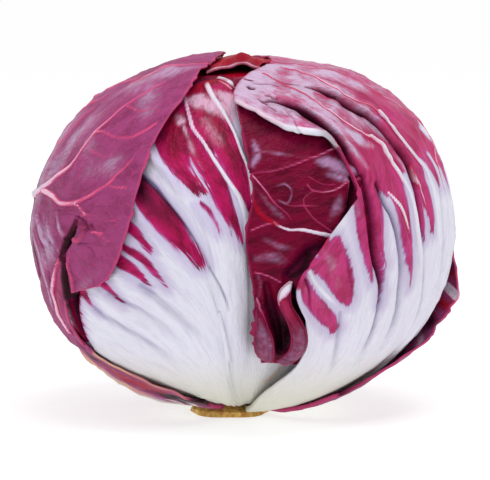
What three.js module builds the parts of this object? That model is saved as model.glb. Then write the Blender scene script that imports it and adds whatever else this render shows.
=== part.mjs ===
// Radicchio head: a round head of overlapping leaves on a short cut stem.
// Millimetres, +Z up, +X to the right and -Y towards the front. The origin is the centre of the
// stem's cut face, on which the head stands.
import * as THREE from 'three';

// ---- Driving dimensions ----
const HEAD_CENTRE = new THREE.Vector3(3.4, 0, 51);
const HALF_WIDTH = 58.9;
const HALF_DEPTH = 57;
const HALF_HEIGHT_ABOVE = 50.5;
const HALF_HEIGHT_BELOW = 49;
const SHOULDER_POWER = 2.3; // how square the upper half is; 2 is an ellipsoid
const BELLY_POWER = 2.05; // the same for the lower half
const STEM_RADIUS = 11;
const STEM_HEIGHT = 8;
const HEART_DEPTH = 7.8; // how far the packed heart lies under the head's outline
const BLADE = 0.9; // thickness of a leaf's blade
const RIB_WIDTH = 0.035; // half width of a rib, as a share of the leaf's width

// ---- Shape of the whole head ----

const radians = THREE.MathUtils.degToRad;

// Unit vector from the head's centre: azimuth 0 is the front and 90 the right, elevation 90 the top.
function direction(azimuth, elevation) {
  const a = radians(azimuth);
  const e = radians(elevation);
  return new THREE.Vector3(Math.sin(a) * Math.cos(e), -Math.cos(a) * Math.cos(e), Math.sin(e));
}

// Distance from the head's centre to its rounded outline in one direction.
function outline(unit) {
  const above = unit.z > 0;
  const power = above ? SHOULDER_POWER : BELLY_POWER;
  const halfHeight = above ? HALF_HEIGHT_ABOVE : HALF_HEIGHT_BELOW;
  const level = Math.hypot(unit.x / HALF_WIDTH, unit.y / HALF_DEPTH);
  return (level ** power + Math.abs(unit.z / halfHeight) ** power) ** (-1 / power);
}

// ---- Leaves ----

// Smooth curve through equally spaced values, t from 0 to 1. Its end slopes run straight on.
function smooth(values, t) {
  const last = values.length - 1;
  const place = Math.min(Math.max(t, 0), 1) * last;
  const i = Math.min(Math.floor(place), last - 1);
  const f = place - i;
  const mirrored = (end, inner) => end.clone().multiplyScalar(2).sub(inner);
  const b = values[i];
  const c = values[i + 1];
  const a = i > 0 ? values[i - 1] : mirrored(b, c);
  const d = i + 2 <= last ? values[i + 2] : mirrored(c, b);
  const sum = b.clone().multiplyScalar(2);
  sum.addScaledVector(c.clone().sub(a), f);
  sum.addScaledVector(a.clone().multiplyScalar(2).addScaledVector(b, -5).addScaledVector(c, 4).sub(d), f * f);
  sum.addScaledVector(d.clone().sub(a).addScaledVector(b, 3).addScaledVector(c, -3), f * f * f);
  return sum.multiplyScalar(0.5);
}

// A leaf's place at u, from its left margin 0 to its right one 1, and v, from its base 0 to its tip 1.
// Its net lists columns from left to right, each a run of [azimuth, elevation, lift] from base to tip.
// Lift is the height over the head's outline, in millimetres.
function place(leaf, u, v) {
  const across = leaf.columns.map((column) => smooth(column, v));
  const at = smooth(across, u);
  const unit = new THREE.Vector3(at.x, at.y, at.z).normalize();
  return { unit, lift: at.w };
}

const bump = (x, width) => Math.exp(-((x / width) ** 2));
const ease = (x) => THREE.MathUtils.smoothstep(x, 0, 1);

// A margin that steps in and out: how far it draws back, as a share of the leaf.
function notch(edge, along) {
  return edge ? edge.depth * 0.5 * (1 + Math.sin(2 * Math.PI * (edge.count * along + edge.start))) : 0;
}

// Long pleats that fan out from a leaf's base: their ridges lie at whole steps of 1/count across it.
// They fill the leaf from u = from to u = to and die out towards v = until.
function folds(pleat, u, v) {
  if (!pleat) return 0;
  const ridge = 0.5 + 0.5 * Math.cos(2 * Math.PI * pleat.count * u);
  const here = ease((u - pleat.from) / 0.1) * ease((pleat.to - u) / 0.1);
  return pleat.height * ridge * here * (1 - ease(v / pleat.until) * pleat.fade);
}

// One leaf as a closed blade: an outer face, an inner face alike below it, and the rim between them.
function leafGeometry(leaf) {
  const outer = [];
  const inner = [];
  const [across, along] = leaf.grid;
  for (let j = 0; j <= along; j += 1) {
    for (let i = 0; i <= across; i += 1) {
      const u0 = i / across;
      const v0 = 1 - (1 - j / along) ** (leaf.tipBias ?? 1);
      const v = v0 * (1 - notch(leaf.tipEdge, u0));
      const left = notch(leaf.leftEdge, v0) * (1 - u0);
      const right = notch(leaf.rightEdge, v0) * u0;
      const u = u0 + left - right;
      const { unit, lift } = place(leaf, u, v);
      const rib = leaf.ribs.reduce((sum, at) => sum + bump(u - at, RIB_WIDTH), 0);
      const veins = leaf.ribHeight * rib * (1 - 0.75 * v);
      const height = lift + veins + folds(leaf.folds, u, v) + (leaf.relief ? leaf.relief(u, v) : 0);
      const thickness = BLADE + (leaf.baseThickness - BLADE) * bump(v, 0.22);
      const radius = outline(unit) + height;
      outer.push(unit.clone().multiplyScalar(radius));
      inner.push(unit.clone().multiplyScalar(radius - thickness));
    }
  }
  return shell(outer, inner, across, along);
}

// Joins two like grids of points into one closed body, both cut into triangles in the same way.
function shell(outer, inner, across, along) {
  const points = [...outer, ...inner];
  const shift = outer.length;
  const at = (i, j) => j * (across + 1) + i;
  const faces = [];
  const quad = (a, b, c, d) => faces.push(a, b, c, a, c, d);
  for (let j = 0; j < along; j += 1) {
    for (let i = 0; i < across; i += 1) {
      const a = at(i, j);
      const b = at(i + 1, j);
      const c = at(i + 1, j + 1);
      const d = at(i, j + 1);
      faces.push(a, b, c, a, c, d);
      faces.push(shift + a, shift + c, shift + b, shift + a, shift + d, shift + c);
    }
  }
  const rim = [];
  for (let i = 0; i < across; i += 1) rim.push(at(i, 0));
  for (let j = 0; j < along; j += 1) rim.push(at(across, j));
  for (let i = across; i > 0; i -= 1) rim.push(at(i, along));
  for (let j = along; j > 0; j -= 1) rim.push(at(0, j));
  rim.forEach((from, k) => {
    const to = rim[(k + 1) % rim.length];
    quad(from, shift + from, shift + to, to);
  });
  return closed(points, faces);
}

// A geometry from points and triangles, turned so that its faces point outwards.
function closed(points, faces) {
  let volume = 0;
  for (let k = 0; k < faces.length; k += 3) {
    const [a, b, c] = [points[faces[k]], points[faces[k + 1]], points[faces[k + 2]]];
    volume += a.dot(b.clone().cross(c));
  }
  const order = volume > 0 ? faces : faces.slice().reverse();
  const geometry = new THREE.BufferGeometry().setFromPoints(points);
  geometry.setIndex(order);
  return geometry;
}

// ---- Relief of single leaves, in millimetres ----

// The middle leaf's ruffle: a lobe along the margin, a deep hollow and a second lobe beside it.
function ruffle(u, v) {
  const corner = 1 - ease((u - 0.18) / 0.14);
  const lobes = 1.3 * bump(v - 1, 0.022) - 0.5 * bump(v - 0.955, 0.016) + 1.2 * bump(v - 0.915, 0.016);
  return corner * lobes;
}

// The left leaf's fold: low on the left its blade doubles over, which leaves a groove and a raised flap.
function flap(u, v) {
  const low = 1 - ease((u - 0.3) / 0.12);
  return low * (0.4 * ease((v - 0.86) / 0.03) - 0.2 * bump(v - 0.85, 0.02));
}

// ---- The heart ----

// Packed inner leaves as one closed ball, with the steps where each leaf laps over the next.
function heartGeometry() {
  const around = 28;
  const rings = 16;
  const points = [];
  for (let j = 1; j < rings; j += 1) {
    for (let i = 0; i < around; i += 1) {
      const azimuth = (360 * i) / around;
      const elevation = -90 + (180 * j) / rings;
      const unit = direction(azimuth, elevation);
      const turn = azimuth / 120 + elevation / 300 + 1;
      const lap = 0.8 * (turn - Math.floor(turn)) * Math.cos(radians(elevation));
      points.push(unit.multiplyScalar(outline(unit) - HEART_DEPTH + lap));
    }
  }
  const bottom = points.length;
  const top = bottom + 1;
  points.push(new THREE.Vector3(0, 0, HEART_DEPTH - HALF_HEIGHT_BELOW));
  points.push(new THREE.Vector3(0, 0, HALF_HEIGHT_ABOVE - HEART_DEPTH));
  const faces = [];
  const at = (i, j) => j * around + (i % around);
  for (let i = 0; i < around; i += 1) {
    faces.push(bottom, at(i + 1, 0), at(i, 0));
    faces.push(top, at(i, rings - 2), at(i + 1, rings - 2));
    for (let j = 0; j < rings - 2; j += 1) {
      faces.push(at(i, j), at(i + 1, j), at(i + 1, j + 1), at(i, j), at(i + 1, j + 1), at(i, j + 1));
    }
  }
  return closed(points, faces);
}

// ---- The leaves' nets and details ----

// Level is the leaf's usual height over the head's outline. A third number in the net adds to it.
const LEAVES = [
  {
    // White base at the front, ribs fanned up and to the left.
    name: 'leaf_front',
    colour: '#dcd4e2',
    level: -1.4,
    net: [
      [[-60, -76, -1], [-80, -64, -0.8], [-92, -50, -0.8], [-98, -36, -0.8],
        [-100, -22, -1.3], [-100, -6, -1.8], [-98, 8, -1.8]],
      [[-32, -75, -0.4], [-30, -56], [-40, -38, 0.6], [-52, -26, 0.6],
        [-66, -16, -0.4], [-80, -4, -1.6], [-88, 16, -1.6]],
      [[-15, -75, 0.2], [-9, -50, 0.4], [-14, -26, 0.6], [-24, -13, 0.6],
        [-38, -6, 0.2], [-56, 6, -0.2], [-72, 28, -0.6]],
      [[-6, -75, 0.2], [-5, -50, 0.3], [-6, -24, 0.4], [-12, -7, 0.4],
        [-24, 6, 0.2], [-38, 22, -0.2], [-54, 44, -0.6]],
      [[-2, -75, 0.2], [-3, -50, 0.2], [-5, -24, 0], [-9, -3, 0],
        [-17, 14, 0], [-30, 31, -0.4], [-38, 56, -0.8]],
      [[5, -75, -0.4], [1, -50, -0.6], [1, -24, -1.6], [0, 0, -1.8],
        [-5, 16, -1.4], [-15, 34, -1.2], [-20, 63, -1.2]],
      [[12, -75, -0.4], [6, -50, -1], [4, -24, -2], [3, 0, -2],
        [1, 20, -2], [-6, 38, -1.8], [-12, 63, -1.6]],
      [[50, -75, -2], [42, -50, -2], [36, -25, -2], [33, 0, -2], [28, 22, -2], [18, 42, -2], [4, 63, -2]],
    ],
    grid: [26, 18],
    ribs: [3 / 7, 4 / 7, 5 / 7],
    ribHeight: 0.3,
    baseThickness: 2,
    folds: { count: 14, height: 0.35, from: 0.2, to: 0.76, until: 0.9, fade: 0.8 },
  },
  {
    // Dark crimson, from the right and back, its ruffled corner low on the left.
    name: 'leaf_middle',
    colour: '#7a1c40',
    level: -1.6,
    net: [
      [[70, -75], [62, -58], [50, -46], [38, -40], [28, -37], [19, -35], [8, -34, 0.6]],
      [[78, -75], [72, -48], [58, -30], [42, -22], [30, -20], [17, -21], [5, -21, 0.6]],
      [[86, -75], [80, -42], [66, -16], [48, -7], [34, -7], [18, -8], [3, -7, 0.5]],
      [[92, -75], [86, -38], [72, -8], [54, 3], [36, 4], [20, 5], [1, 4, 0.5]],
      [[98, -75], [92, -34], [78, 0], [60, 12], [38, 15], [20, 14], [3, 15, 0.5]],
      [[104, -75], [98, -30], [84, 6], [66, 20], [44, 27], [20, 25], [2, 24, 0.4]],
      [[112, -75], [108, -24], [94, 14], [78, 34], [54, 42], [26, 42], [-1, 39, 0.3]],
      [[122, -75], [120, -20], [108, 20], [96, 44], [78, 58], [38, 64], [-4, 56, 0.1]],
    ],
    grid: [22, 22],
    tipBias: 1.5,
    ribs: [3 / 7, 5 / 7],
    ribHeight: 0.25,
    baseThickness: 1.3,
    tipEdge: { count: 7, start: 0.2, depth: 0.012 },
    relief: ruffle,
  },
  {
    // Up the back and over, its tip a small crest at the top.
    name: 'leaf_back',
    colour: '#c9b4c8',
    level: -1.9,
    net: [
      [[132, -75], [130, -50], [126, -24], [125, 2], [125, 28], [124, 52], [105, 70], [20, 74, 0.5]],
      [[150, -75], [148, -50], [146, -24], [145, 2], [146, 28], [146, 54], [138, 76], [14, 79, 1.3]],
      [[168, -75], [168, -50], [167, -24], [167, 2], [167, 28], [167, 54], [168, 79, 0.3], [8, 83, 2.3]],
      [[180, -75], [180, -50], [180, -24], [180, 2], [180, 28], [180, 54], [180, 80, 0.3], [2, 84, 2.3]],
      [[192, -75], [192, -50], [193, -24], [193, 2], [193, 28], [193, 54], [195, 79, 0.3], [-8, 82, 0.9]],
      [[210, -75, -0.3], [212, -50], [214, -24], [215, 2], [215, 28], [214, 54], [220, 76], [-24, 78, 0.4]],
      [[228, -75, -0.4], [232, -50], [236, -24], [238, 2], [238, 28], [237, 52], [252, 70], [-36, 72]],
    ],
    grid: [14, 18],
    ribs: [3 / 6],
    ribHeight: 0.3,
    baseThickness: 1.5,
    tipEdge: { count: 3, start: 0.6, depth: 0.02 },
    folds: { count: 6, height: 0.45, from: 0.05, to: 0.95, until: 1, fade: 0.9 },
  },
  {
    // Low behind and at the lower left, with a flared rim.
    name: 'leaf_left_outer',
    colour: '#8a4a5c',
    level: -1.4,
    net: [
      [[-132, -72, 0.8], [-140, -62, 1], [-146, -50, 1.2], [-149, -38, 1.2],
        [-149, -28, 1.2], [-148, -18, 1.5], [-144, -8, 1.5]],
      [[-112, -72, 0.7], [-118, -60, 1], [-122, -47, 1.4], [-124, -32, 1.4],
        [-124, -20, 1.3], [-122, -8, 1.2], [-118, 6, 1]],
      [[-90, -72, 0.4], [-95, -60, 0.6], [-99, -46, 0.5], [-101, -32, 0.4],
        [-102, -18, 0.2], [-101, -4], [-98, 12]],
      [[-62, -72, 0.7], [-70, -63, 0.8], [-78, -52, 0.8], [-88, -39, 0.6],
        [-88, -28, 0.6], [-86, -14, 0.2], [-84, 6, 0]],
      [[-34, -74, 0.9], [-38, -64, 1.6], [-48, -54, 2.4], [-62, -45, 2],
        [-80, -36, 0.8], [-76, -27, 2], [-74, -6, -0.2]],
    ],
    grid: [14, 14],
    ribs: [0.5],
    ribHeight: 0.1,
    baseThickness: 1.2,
    rightEdge: { count: 4, start: 0.1, depth: 0.02 },
  },
  {
    // Dusky, from the back left, its broad tip margin running down the front.
    name: 'leaf_left',
    colour: '#a2507f',
    level: 0.6,
    net: [
      [[-128, -73, 1], [-134, -52, 1.4], [-126, -28, 1.4], [-110, -12, 0.9],
        [-88, -3], [-71, -17], [-58, -33]],
      [[-133, -73, 1], [-134, -50, 1.4], [-124, -24, 1.4], [-107, -7, 0.9],
        [-84, -1], [-66, -9], [-54, -14]],
      [[-138, -73, 1], [-136, -47, 1.4], [-123, -19, 1.4], [-105, -1, 0.9],
        [-82, 3], [-60, -1], [-37, -6]],
      [[-144, -73, 1], [-139, -44, 1.4], [-124, -14, 1.4], [-104, 5, 0.9], [-80, 8], [-55, 6], [-30, 8]],
      [[-148, -73, 1], [-142, -42, 1.4], [-125, -10, 1.4], [-104, 9, 0.9],
        [-79, 12], [-50, 12], [-27, 26]],
      [[-152, -73, 1], [-145, -42, 1.4], [-127, -8, 1.4], [-105, 12, 0.9],
        [-75, 17], [-47, 27], [-22, 43]],
      [[-156, -73, 1], [-149, -42, 1.4], [-130, -6, 1.4], [-107, 15, 0.9],
        [-72, 24], [-45, 42], [-23, 60]],
      [[-164, -73, 1], [-160, -40, 1.4], [-146, -2, 1.4], [-128, 26, 0.9],
        [-104, 50], [-70, 65], [-12, 71]],
      [[-175, -73, 1], [-176, -40, 1.4], [-172, -2, 1.4], [-168, 30, 0.9],
        [-164, 58, 0.2], [-150, 78, 0.2], [1, 77, 0.2]],
    ],
    grid: [26, 20],
    tipBias: 1.3,
    ribs: [4 / 8, 6 / 8],
    ribHeight: 0.35,
    baseThickness: 1.4,
    tipEdge: { count: 6, start: 0.4, depth: 0.008 },
    relief: flap,
  },
  {
    // Pleated white base on the right, its tip folded over the top to the left.
    name: 'leaf_right',
    colour: '#c9a0bd',
    level: 0.4,
    net: [
      [[6, -75], [10, -54], [18, -34, 0.6], [15, -14, 0.9], [22, 3, 0.5], [31, 17], [25, 28], [12, 32], [-2, 41]],
      [[15, -75], [18, -55], [24, -35], [24, -14], [29, 3], [37, 19], [32, 32], [16, 39], [-3, 46]],
      [[25, -75], [30, -56], [36, -36], [36, -14], [40, 4], [42, 20], [37, 35], [22, 46], [-1, 51]],
      [[38, -75], [44, -56], [46, -34], [46, -14], [50, 4], [49, 20], [42, 36], [28, 48], [5, 57]],
      [[50, -75], [54, -56], [54, -34], [54, -12], [57, 5], [56, 22], [49, 38], [36, 52], [14, 63]],
      [[62, -75], [64, -56], [62, -34], [62, -12], [64, 6], [62, 24], [56, 42], [44, 57], [24, 69]],
      [[78, -75], [76, -56], [74, -34], [75, -10], [77, 8], [75, 28], [70, 48], [62, 64], [42, 76]],
      [[95, -75], [94, -56], [94, -34], [97, -8], [100, 12], [104, 34], [108, 54], [112, 70], [110, 83]],
      [[112, -75], [114, -54], [120, -30], [128, -6], [136, 16],
        [146, 38], [158, 56], [170, 70], [176, 81]],
    ],
    grid: [30, 26],
    ribs: [],
    ribHeight: 0,
    baseThickness: 1.4,
    leftEdge: { count: 5, start: 0, depth: 0.012 },
    folds: { count: 8, height: 0.75, from: 0.04, to: 0.74, until: 1, fade: 0.3 },
  },
  {
    // Loose and low on the right and behind, its left margin flaring off.
    name: 'leaf_right_outer',
    colour: '#8f3f66',
    level: 2.3,
    net: [
      [[70, -75, -0.5], [72, -62, -0.3], [75, -50, 0.1], [78, -38, 0.4],
        [80, -27, 1.3], [82, -18, 2.4], [84, -10, 1], [86, -2, -0.6]],
      [[83, -75, -0.5], [85, -60, 0], [88, -47, 0.2], [90, -34, 0.4],
        [93, -22, 0.8], [95, -11, 0.8], [96, -2, 0.3], [97, 6]],
      [[98, -75, -0.5], [102, -58], [104, -43], [107, -29],
        [110, -16], [112, -4], [113, 6], [114, 14, 0.3]],
      [[112, -75, -0.5], [118, -57], [124, -41], [128, -26],
        [131, -12], [133, 1], [134, 11], [134, 20, 0.3]],
      [[128, -75, -0.5], [136, -58], [143, -43], [148, -30],
        [151, -17], [152, -5], [152, 6], [152, 15, 0.3]],
      [[144, -75, -0.5], [154, -62], [162, -51], [168, -40],
        [171, -30], [172, -19], [172, -9], [172, 0, 0.3]],
    ],
    grid: [16, 18],
    ribs: [3 / 5],
    ribHeight: 0.4,
    baseThickness: 1.1,
    leftEdge: { count: 3, start: 0.3, depth: 0.05 },
  },
];

// ---- The whole head ----

const head = new THREE.Group();
head.name = 'radicchio_head';

function add(name, geometry, colour, roughness) {
  const material = new THREE.MeshStandardMaterial({ color: colour, roughness, metalness: 0 });
  const mesh = new THREE.Mesh(geometry, material);
  mesh.name = name;
  head.add(mesh);
  return mesh;
}

// The short core: flat where it is cut, with a neck that the leaves grow round.
const stemProfile = [
  [0, 0], [STEM_RADIUS - 0.6, 0], [STEM_RADIUS, 0.7], [STEM_RADIUS, 1.5],
  [STEM_RADIUS * 0.7, 3.4], [STEM_RADIUS * 0.62, 6], [0, STEM_HEIGHT - 0.5],
].map(([radius, height]) => new THREE.Vector2(radius, height));
const stem = add('stem', new THREE.LatheGeometry(stemProfile, 28), '#b98f52', 0.7);
stem.rotation.x = Math.PI / 2; // a lathe turns about Y; the stem stands along Z

add('heart', heartGeometry(), '#a33a63', 0.5).position.copy(HEAD_CENTRE);

LEAVES.forEach((leaf) => {
  leaf.columns = leaf.net.map((column) => column.map(([azimuth, elevation, more = 0]) => {
    const unit = direction(azimuth, elevation);
    return new THREE.Vector4(unit.x, unit.y, unit.z, leaf.level + more);
  }));
  add(leaf.name, leafGeometry(leaf), leaf.colour, 0.45).position.copy(HEAD_CENTRE);
});

export default head;
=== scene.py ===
# %% [markdown]
# # A head of radicchio
# A round head of red chicory is a bunch of cupped leaves, each wrapped over the next round a short
# stem. Its look comes from four things: crisp white ribs that fan out from the base, magenta that
# feathers into the white in streaks, dusky outer leaves with pink veins, and the deep dark folds
# where one leaf laps over another. Each leaf is made here as one thin sheet, wrapped over the head.

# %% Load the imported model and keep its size
import math

import bpy
import numpy as np
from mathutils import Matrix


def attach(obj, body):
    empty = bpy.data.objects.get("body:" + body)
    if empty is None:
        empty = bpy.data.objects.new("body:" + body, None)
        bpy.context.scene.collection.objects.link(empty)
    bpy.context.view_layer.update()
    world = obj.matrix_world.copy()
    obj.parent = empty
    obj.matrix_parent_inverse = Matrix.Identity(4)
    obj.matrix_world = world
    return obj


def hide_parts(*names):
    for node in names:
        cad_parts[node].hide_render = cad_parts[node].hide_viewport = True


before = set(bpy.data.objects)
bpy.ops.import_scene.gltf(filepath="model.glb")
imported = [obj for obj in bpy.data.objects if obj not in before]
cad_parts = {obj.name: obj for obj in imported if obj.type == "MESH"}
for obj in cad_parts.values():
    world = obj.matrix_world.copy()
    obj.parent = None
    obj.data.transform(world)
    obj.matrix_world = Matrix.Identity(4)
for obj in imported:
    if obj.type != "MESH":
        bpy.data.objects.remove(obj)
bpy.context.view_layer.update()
MM = 0.001
print("solids:", sorted(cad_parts))

# %% [markdown]
# ## The round of the head
# Leaves press on each other, so together they fill one round shape. Every leaf is described by the
# directions that it covers, seen from the head's centre, and by its lift over that round shape.
# Azimuth 0 is the front and 90 the right; elevation 90 is the top. This way a leaf can never drift
# off the head, and lines drawn on it are given in the same degrees. A sphere would be simpler, but
# a real head is squarer at the shoulders, flat on its crown and fallen in a little at the left.

# %% Directions and the head's outline
HEAD_CENTRE = np.array([3.4, 0.0, 51.0])
HALF_WIDTH, HALF_DEPTH = 58.9, 57.0
HALF_ABOVE, HALF_BELOW = 50.5, 50.0
SHOULDER_POWER, BELLY_POWER = 2.3, 1.95  # 2 is an ellipsoid, and more is squarer
CROWN_DIP, CROWN_FROM, CROWN_RUN = 1.9, 0.82, 0.13  # mm, and shares of the way up
SHOULDER_DIP, SHOULDER_FROM, SHOULDER_RUN = 3.3, -0.1, 0.75
LEFT_FROM, LEFT_FADE_IN, LEFT_TO, LEFT_FADE_OUT = 40, 30, 140, 40  # degrees round the left side


def direction(azimuth, elevation):
    """Unit vectors from angles in degrees."""
    a, e = np.radians(azimuth), np.radians(elevation)
    return np.stack([np.sin(a) * np.cos(e), -np.cos(a) * np.cos(e), np.sin(e)], axis=-1)


def angles_of(unit):
    """Azimuths and elevations in degrees from unit vectors."""
    azimuth = np.degrees(np.arctan2(unit[..., 0], -unit[..., 1]))
    return azimuth, np.degrees(np.arcsin(np.clip(unit[..., 2], -1, 1)))


def ease(x):
    """Rises smoothly from 0 to 1 while x does."""
    x = np.clip(x, 0, 1)
    return x * x * (3 - 2 * x)


def outline(unit):
    """Millimetres from the head's centre to its round outline, for each direction."""
    above = unit[..., 2] > 0
    power = np.where(above, SHOULDER_POWER, BELLY_POWER)
    half_height = np.where(above, HALF_ABOVE, HALF_BELOW)
    level = np.hypot(unit[..., 0] / HALF_WIDTH, unit[..., 1] / HALF_DEPTH)
    round_shape = (level**power + np.abs(unit[..., 2] / half_height) ** power) ** (-1 / power)
    to_left = -angles_of(unit)[0]
    crown = ease((unit[..., 2] - CROWN_FROM) / CROWN_RUN)
    left_side = ease((to_left - LEFT_FROM) / LEFT_FADE_IN) * (1 - ease((to_left - LEFT_TO) / LEFT_FADE_OUT))
    left_shoulder = left_side * ease((unit[..., 2] - SHOULDER_FROM) / SHOULDER_RUN) * (1 - crown)
    return round_shape - CROWN_DIP * crown - SHOULDER_DIP * left_shoulder


def unit_of(vectors):
    return vectors / np.linalg.norm(vectors, axis=-1, keepdims=True)


def smooth_curve(values, t):
    """A smooth curve through equally spaced rows of values, read at t from 0 to 1."""
    last = len(values) - 1
    ends = np.concatenate([[2 * values[0] - values[1]], values, [2 * values[-1] - values[-2]]])
    place = np.clip(t, 0, 1) * last
    i = np.minimum(place.astype(int), last - 1)
    f = (place - i).reshape([-1] + [1] * (values.ndim - 1))
    a, b, c, d = ends[i], ends[i + 1], ends[i + 2], ends[i + 3]
    bend = (2 * a - 5 * b + 4 * c - d) * f**2 + (3 * b - a - 3 * c + d) * f**3
    return 0.5 * (2 * b + (c - a) * f + bend)


print("height of the outline over the base:", HALF_ABOVE + HALF_BELOW, "mm")

# %% [markdown]
# ## Noise for grown surfaces
# Nothing on a leaf is even. Blender has a displace modifier with its own clouds, but the same noise
# has to move the stains as well as the surface. So a small block of seeded random numbers, read
# smoothly between its cells, gives bumps of any size here, and it is the same on every run.

# %% Seeded noise
CELLS = 32
block = np.random.default_rng(11).uniform(-1, 1, (CELLS, CELLS, CELLS))


def noise(points, size):
    """Smooth noise from -1 to 1 whose bumps are about size across, in the points' own unit."""
    place = points / size
    i = np.floor(place).astype(int)
    f = place - i
    f = f * f * (3 - 2 * f)
    total = 0
    for corner in range(8):
        step = np.array([corner & 1, corner >> 1 & 1, corner >> 2 & 1])
        share = np.prod(np.where(step == 1, f, 1 - f), axis=-1)
        x, y, z = np.moveaxis((i + step) % CELLS, -1, 0)
        total = total + share * block[x, y, z]
    return total


print("noise block:", block.shape)

# %% [markdown]
# ## Strokes: ribs, grooves and stains
# A painter would add each vein and each stain as one stroke of a brush. A stroke here is a smooth
# path over the head with a half width along it, and it can do two jobs in one: raise or sink the
# leaf, and leave an amount of paint. Distances are in millimetres on the head's round outline.
# Painting by hand would give the same, but a stroke keeps its place when the grid gets finer.

# %% Distance from a stroke's path
FAR = 99.0
PATH_STEP = 0.7


def path_points(path):
    """A stroke's path as close points on the outline, and how far along each one lies, 0 to 1."""
    rough = smooth_curve(direction(*np.array(path, float).T), np.linspace(0, 1, 12 * len(path)))
    rough = unit_of(rough)
    rough = rough * outline(rough)[:, None]
    run = np.concatenate([[0], np.cumsum(np.linalg.norm(np.diff(rough, axis=0), axis=1))])
    share = np.linspace(0, 1, max(3, int(run[-1] / PATH_STEP) + 1))
    points = np.stack([np.interp(share * run[-1], run, rough[:, k]) for k in range(3)], axis=1)
    return points, share


def distance_to(path, ground, reach):
    """For points on the outline: millimetres to the path, and the place along it, 0 to 1."""
    points, share = path_points(path)
    away = np.full(len(ground), FAR)
    place = np.zeros(len(ground))
    low, high = points.min(axis=0) - reach, points.max(axis=0) + reach
    near = np.flatnonzero(np.all((ground > low) & (ground < high), axis=1))
    if len(near):
        start, leg = points[:-1], np.diff(points, axis=0)
        offset = ground[near, None, :] - start[None]
        t = np.clip(np.sum(offset * leg, axis=2) / np.sum(leg * leg, axis=1), 0, 1)
        gap = np.linalg.norm(offset - t[..., None] * leg, axis=2)
        best = np.argmin(gap, axis=1)
        rows = np.arange(len(near))
        away[near] = gap[rows, best]
        place[near] = share[best] + t[rows, best] / (len(points) - 1)
    return away, place


def stroke(path, width, height=0.0, power=2, **paint):
    """One stroke. Width is a half width in mm and height a rise in mm, each a number or a run of
    numbers along the path. A power of 2 has a round back, and 3 or 4 a flat one with steeper sides."""
    return dict(path=path, width=width, height=height, power=power, paint=paint)


def stains(strokes):
    """Strokes of magenta on white, each given as its path and its half widths."""
    return [stroke(path, width, stain=1) for path, width in strokes]


def along(values, place):
    """A number, or a run of numbers spread evenly along a path, at each place on it."""
    values = np.atleast_1d(np.array(values, float))
    return np.interp(place, np.linspace(0, 1, len(values)), values)


print("points on a path are", PATH_STEP, "mm apart")

# %% [markdown]
# ## One leaf
# A leaf could be sculpted, but a net of directions repeats the solid's own shape exactly. The
# leaf starts as a flat grid, is wrapped over the head through its net, takes its strokes, and only
# then gets its thickness. A stroke is never narrower than the grid's own spacing can carry, or it
# would break up into dots.
#
# Each corner of the grid keeps what was painted there as an attribute that the materials read:
# stain (mm inside the magenta), rib (pink vein), white (white rib), flush (bright red), shade
# (painted shade in folds, gaps and hollows, in a few places deepening the red), a pale paint for
# the wax bloom and for painted sheen, tan (dried edge) and rim (the very margin). The magenta's
# edge is smooth along a rib and frayed across it, so fray keeps how far the edge turns away from
# the grain.

# %% Wrap a grid over the head
PAINTS = ("rib", "white", "flush", "shade", "bloom", "tan")
BLADE = 0.55  # mm, the thickness of a leaf away from its base
FINEST, COARSEST = 0.32, 1.2  # mm, a stroke's least half width and the grid's widest step
STEP_SHARE, STEP_POWER = 0.8, 1.6  # how the least half width grows with the grid's step
REACH_WIDTHS, REACH_BEYOND = 3, 4  # a stroke has faded out this many half widths and mm away
END_SPREAD, END_FROM, END_RUN = 1.5, 0.45, 0.45  # where a stain counts as its ragged end
TAIL_ROWS, TAIL_SINK, NECK_ELEVATION = 8, 0.6, -83


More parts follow.
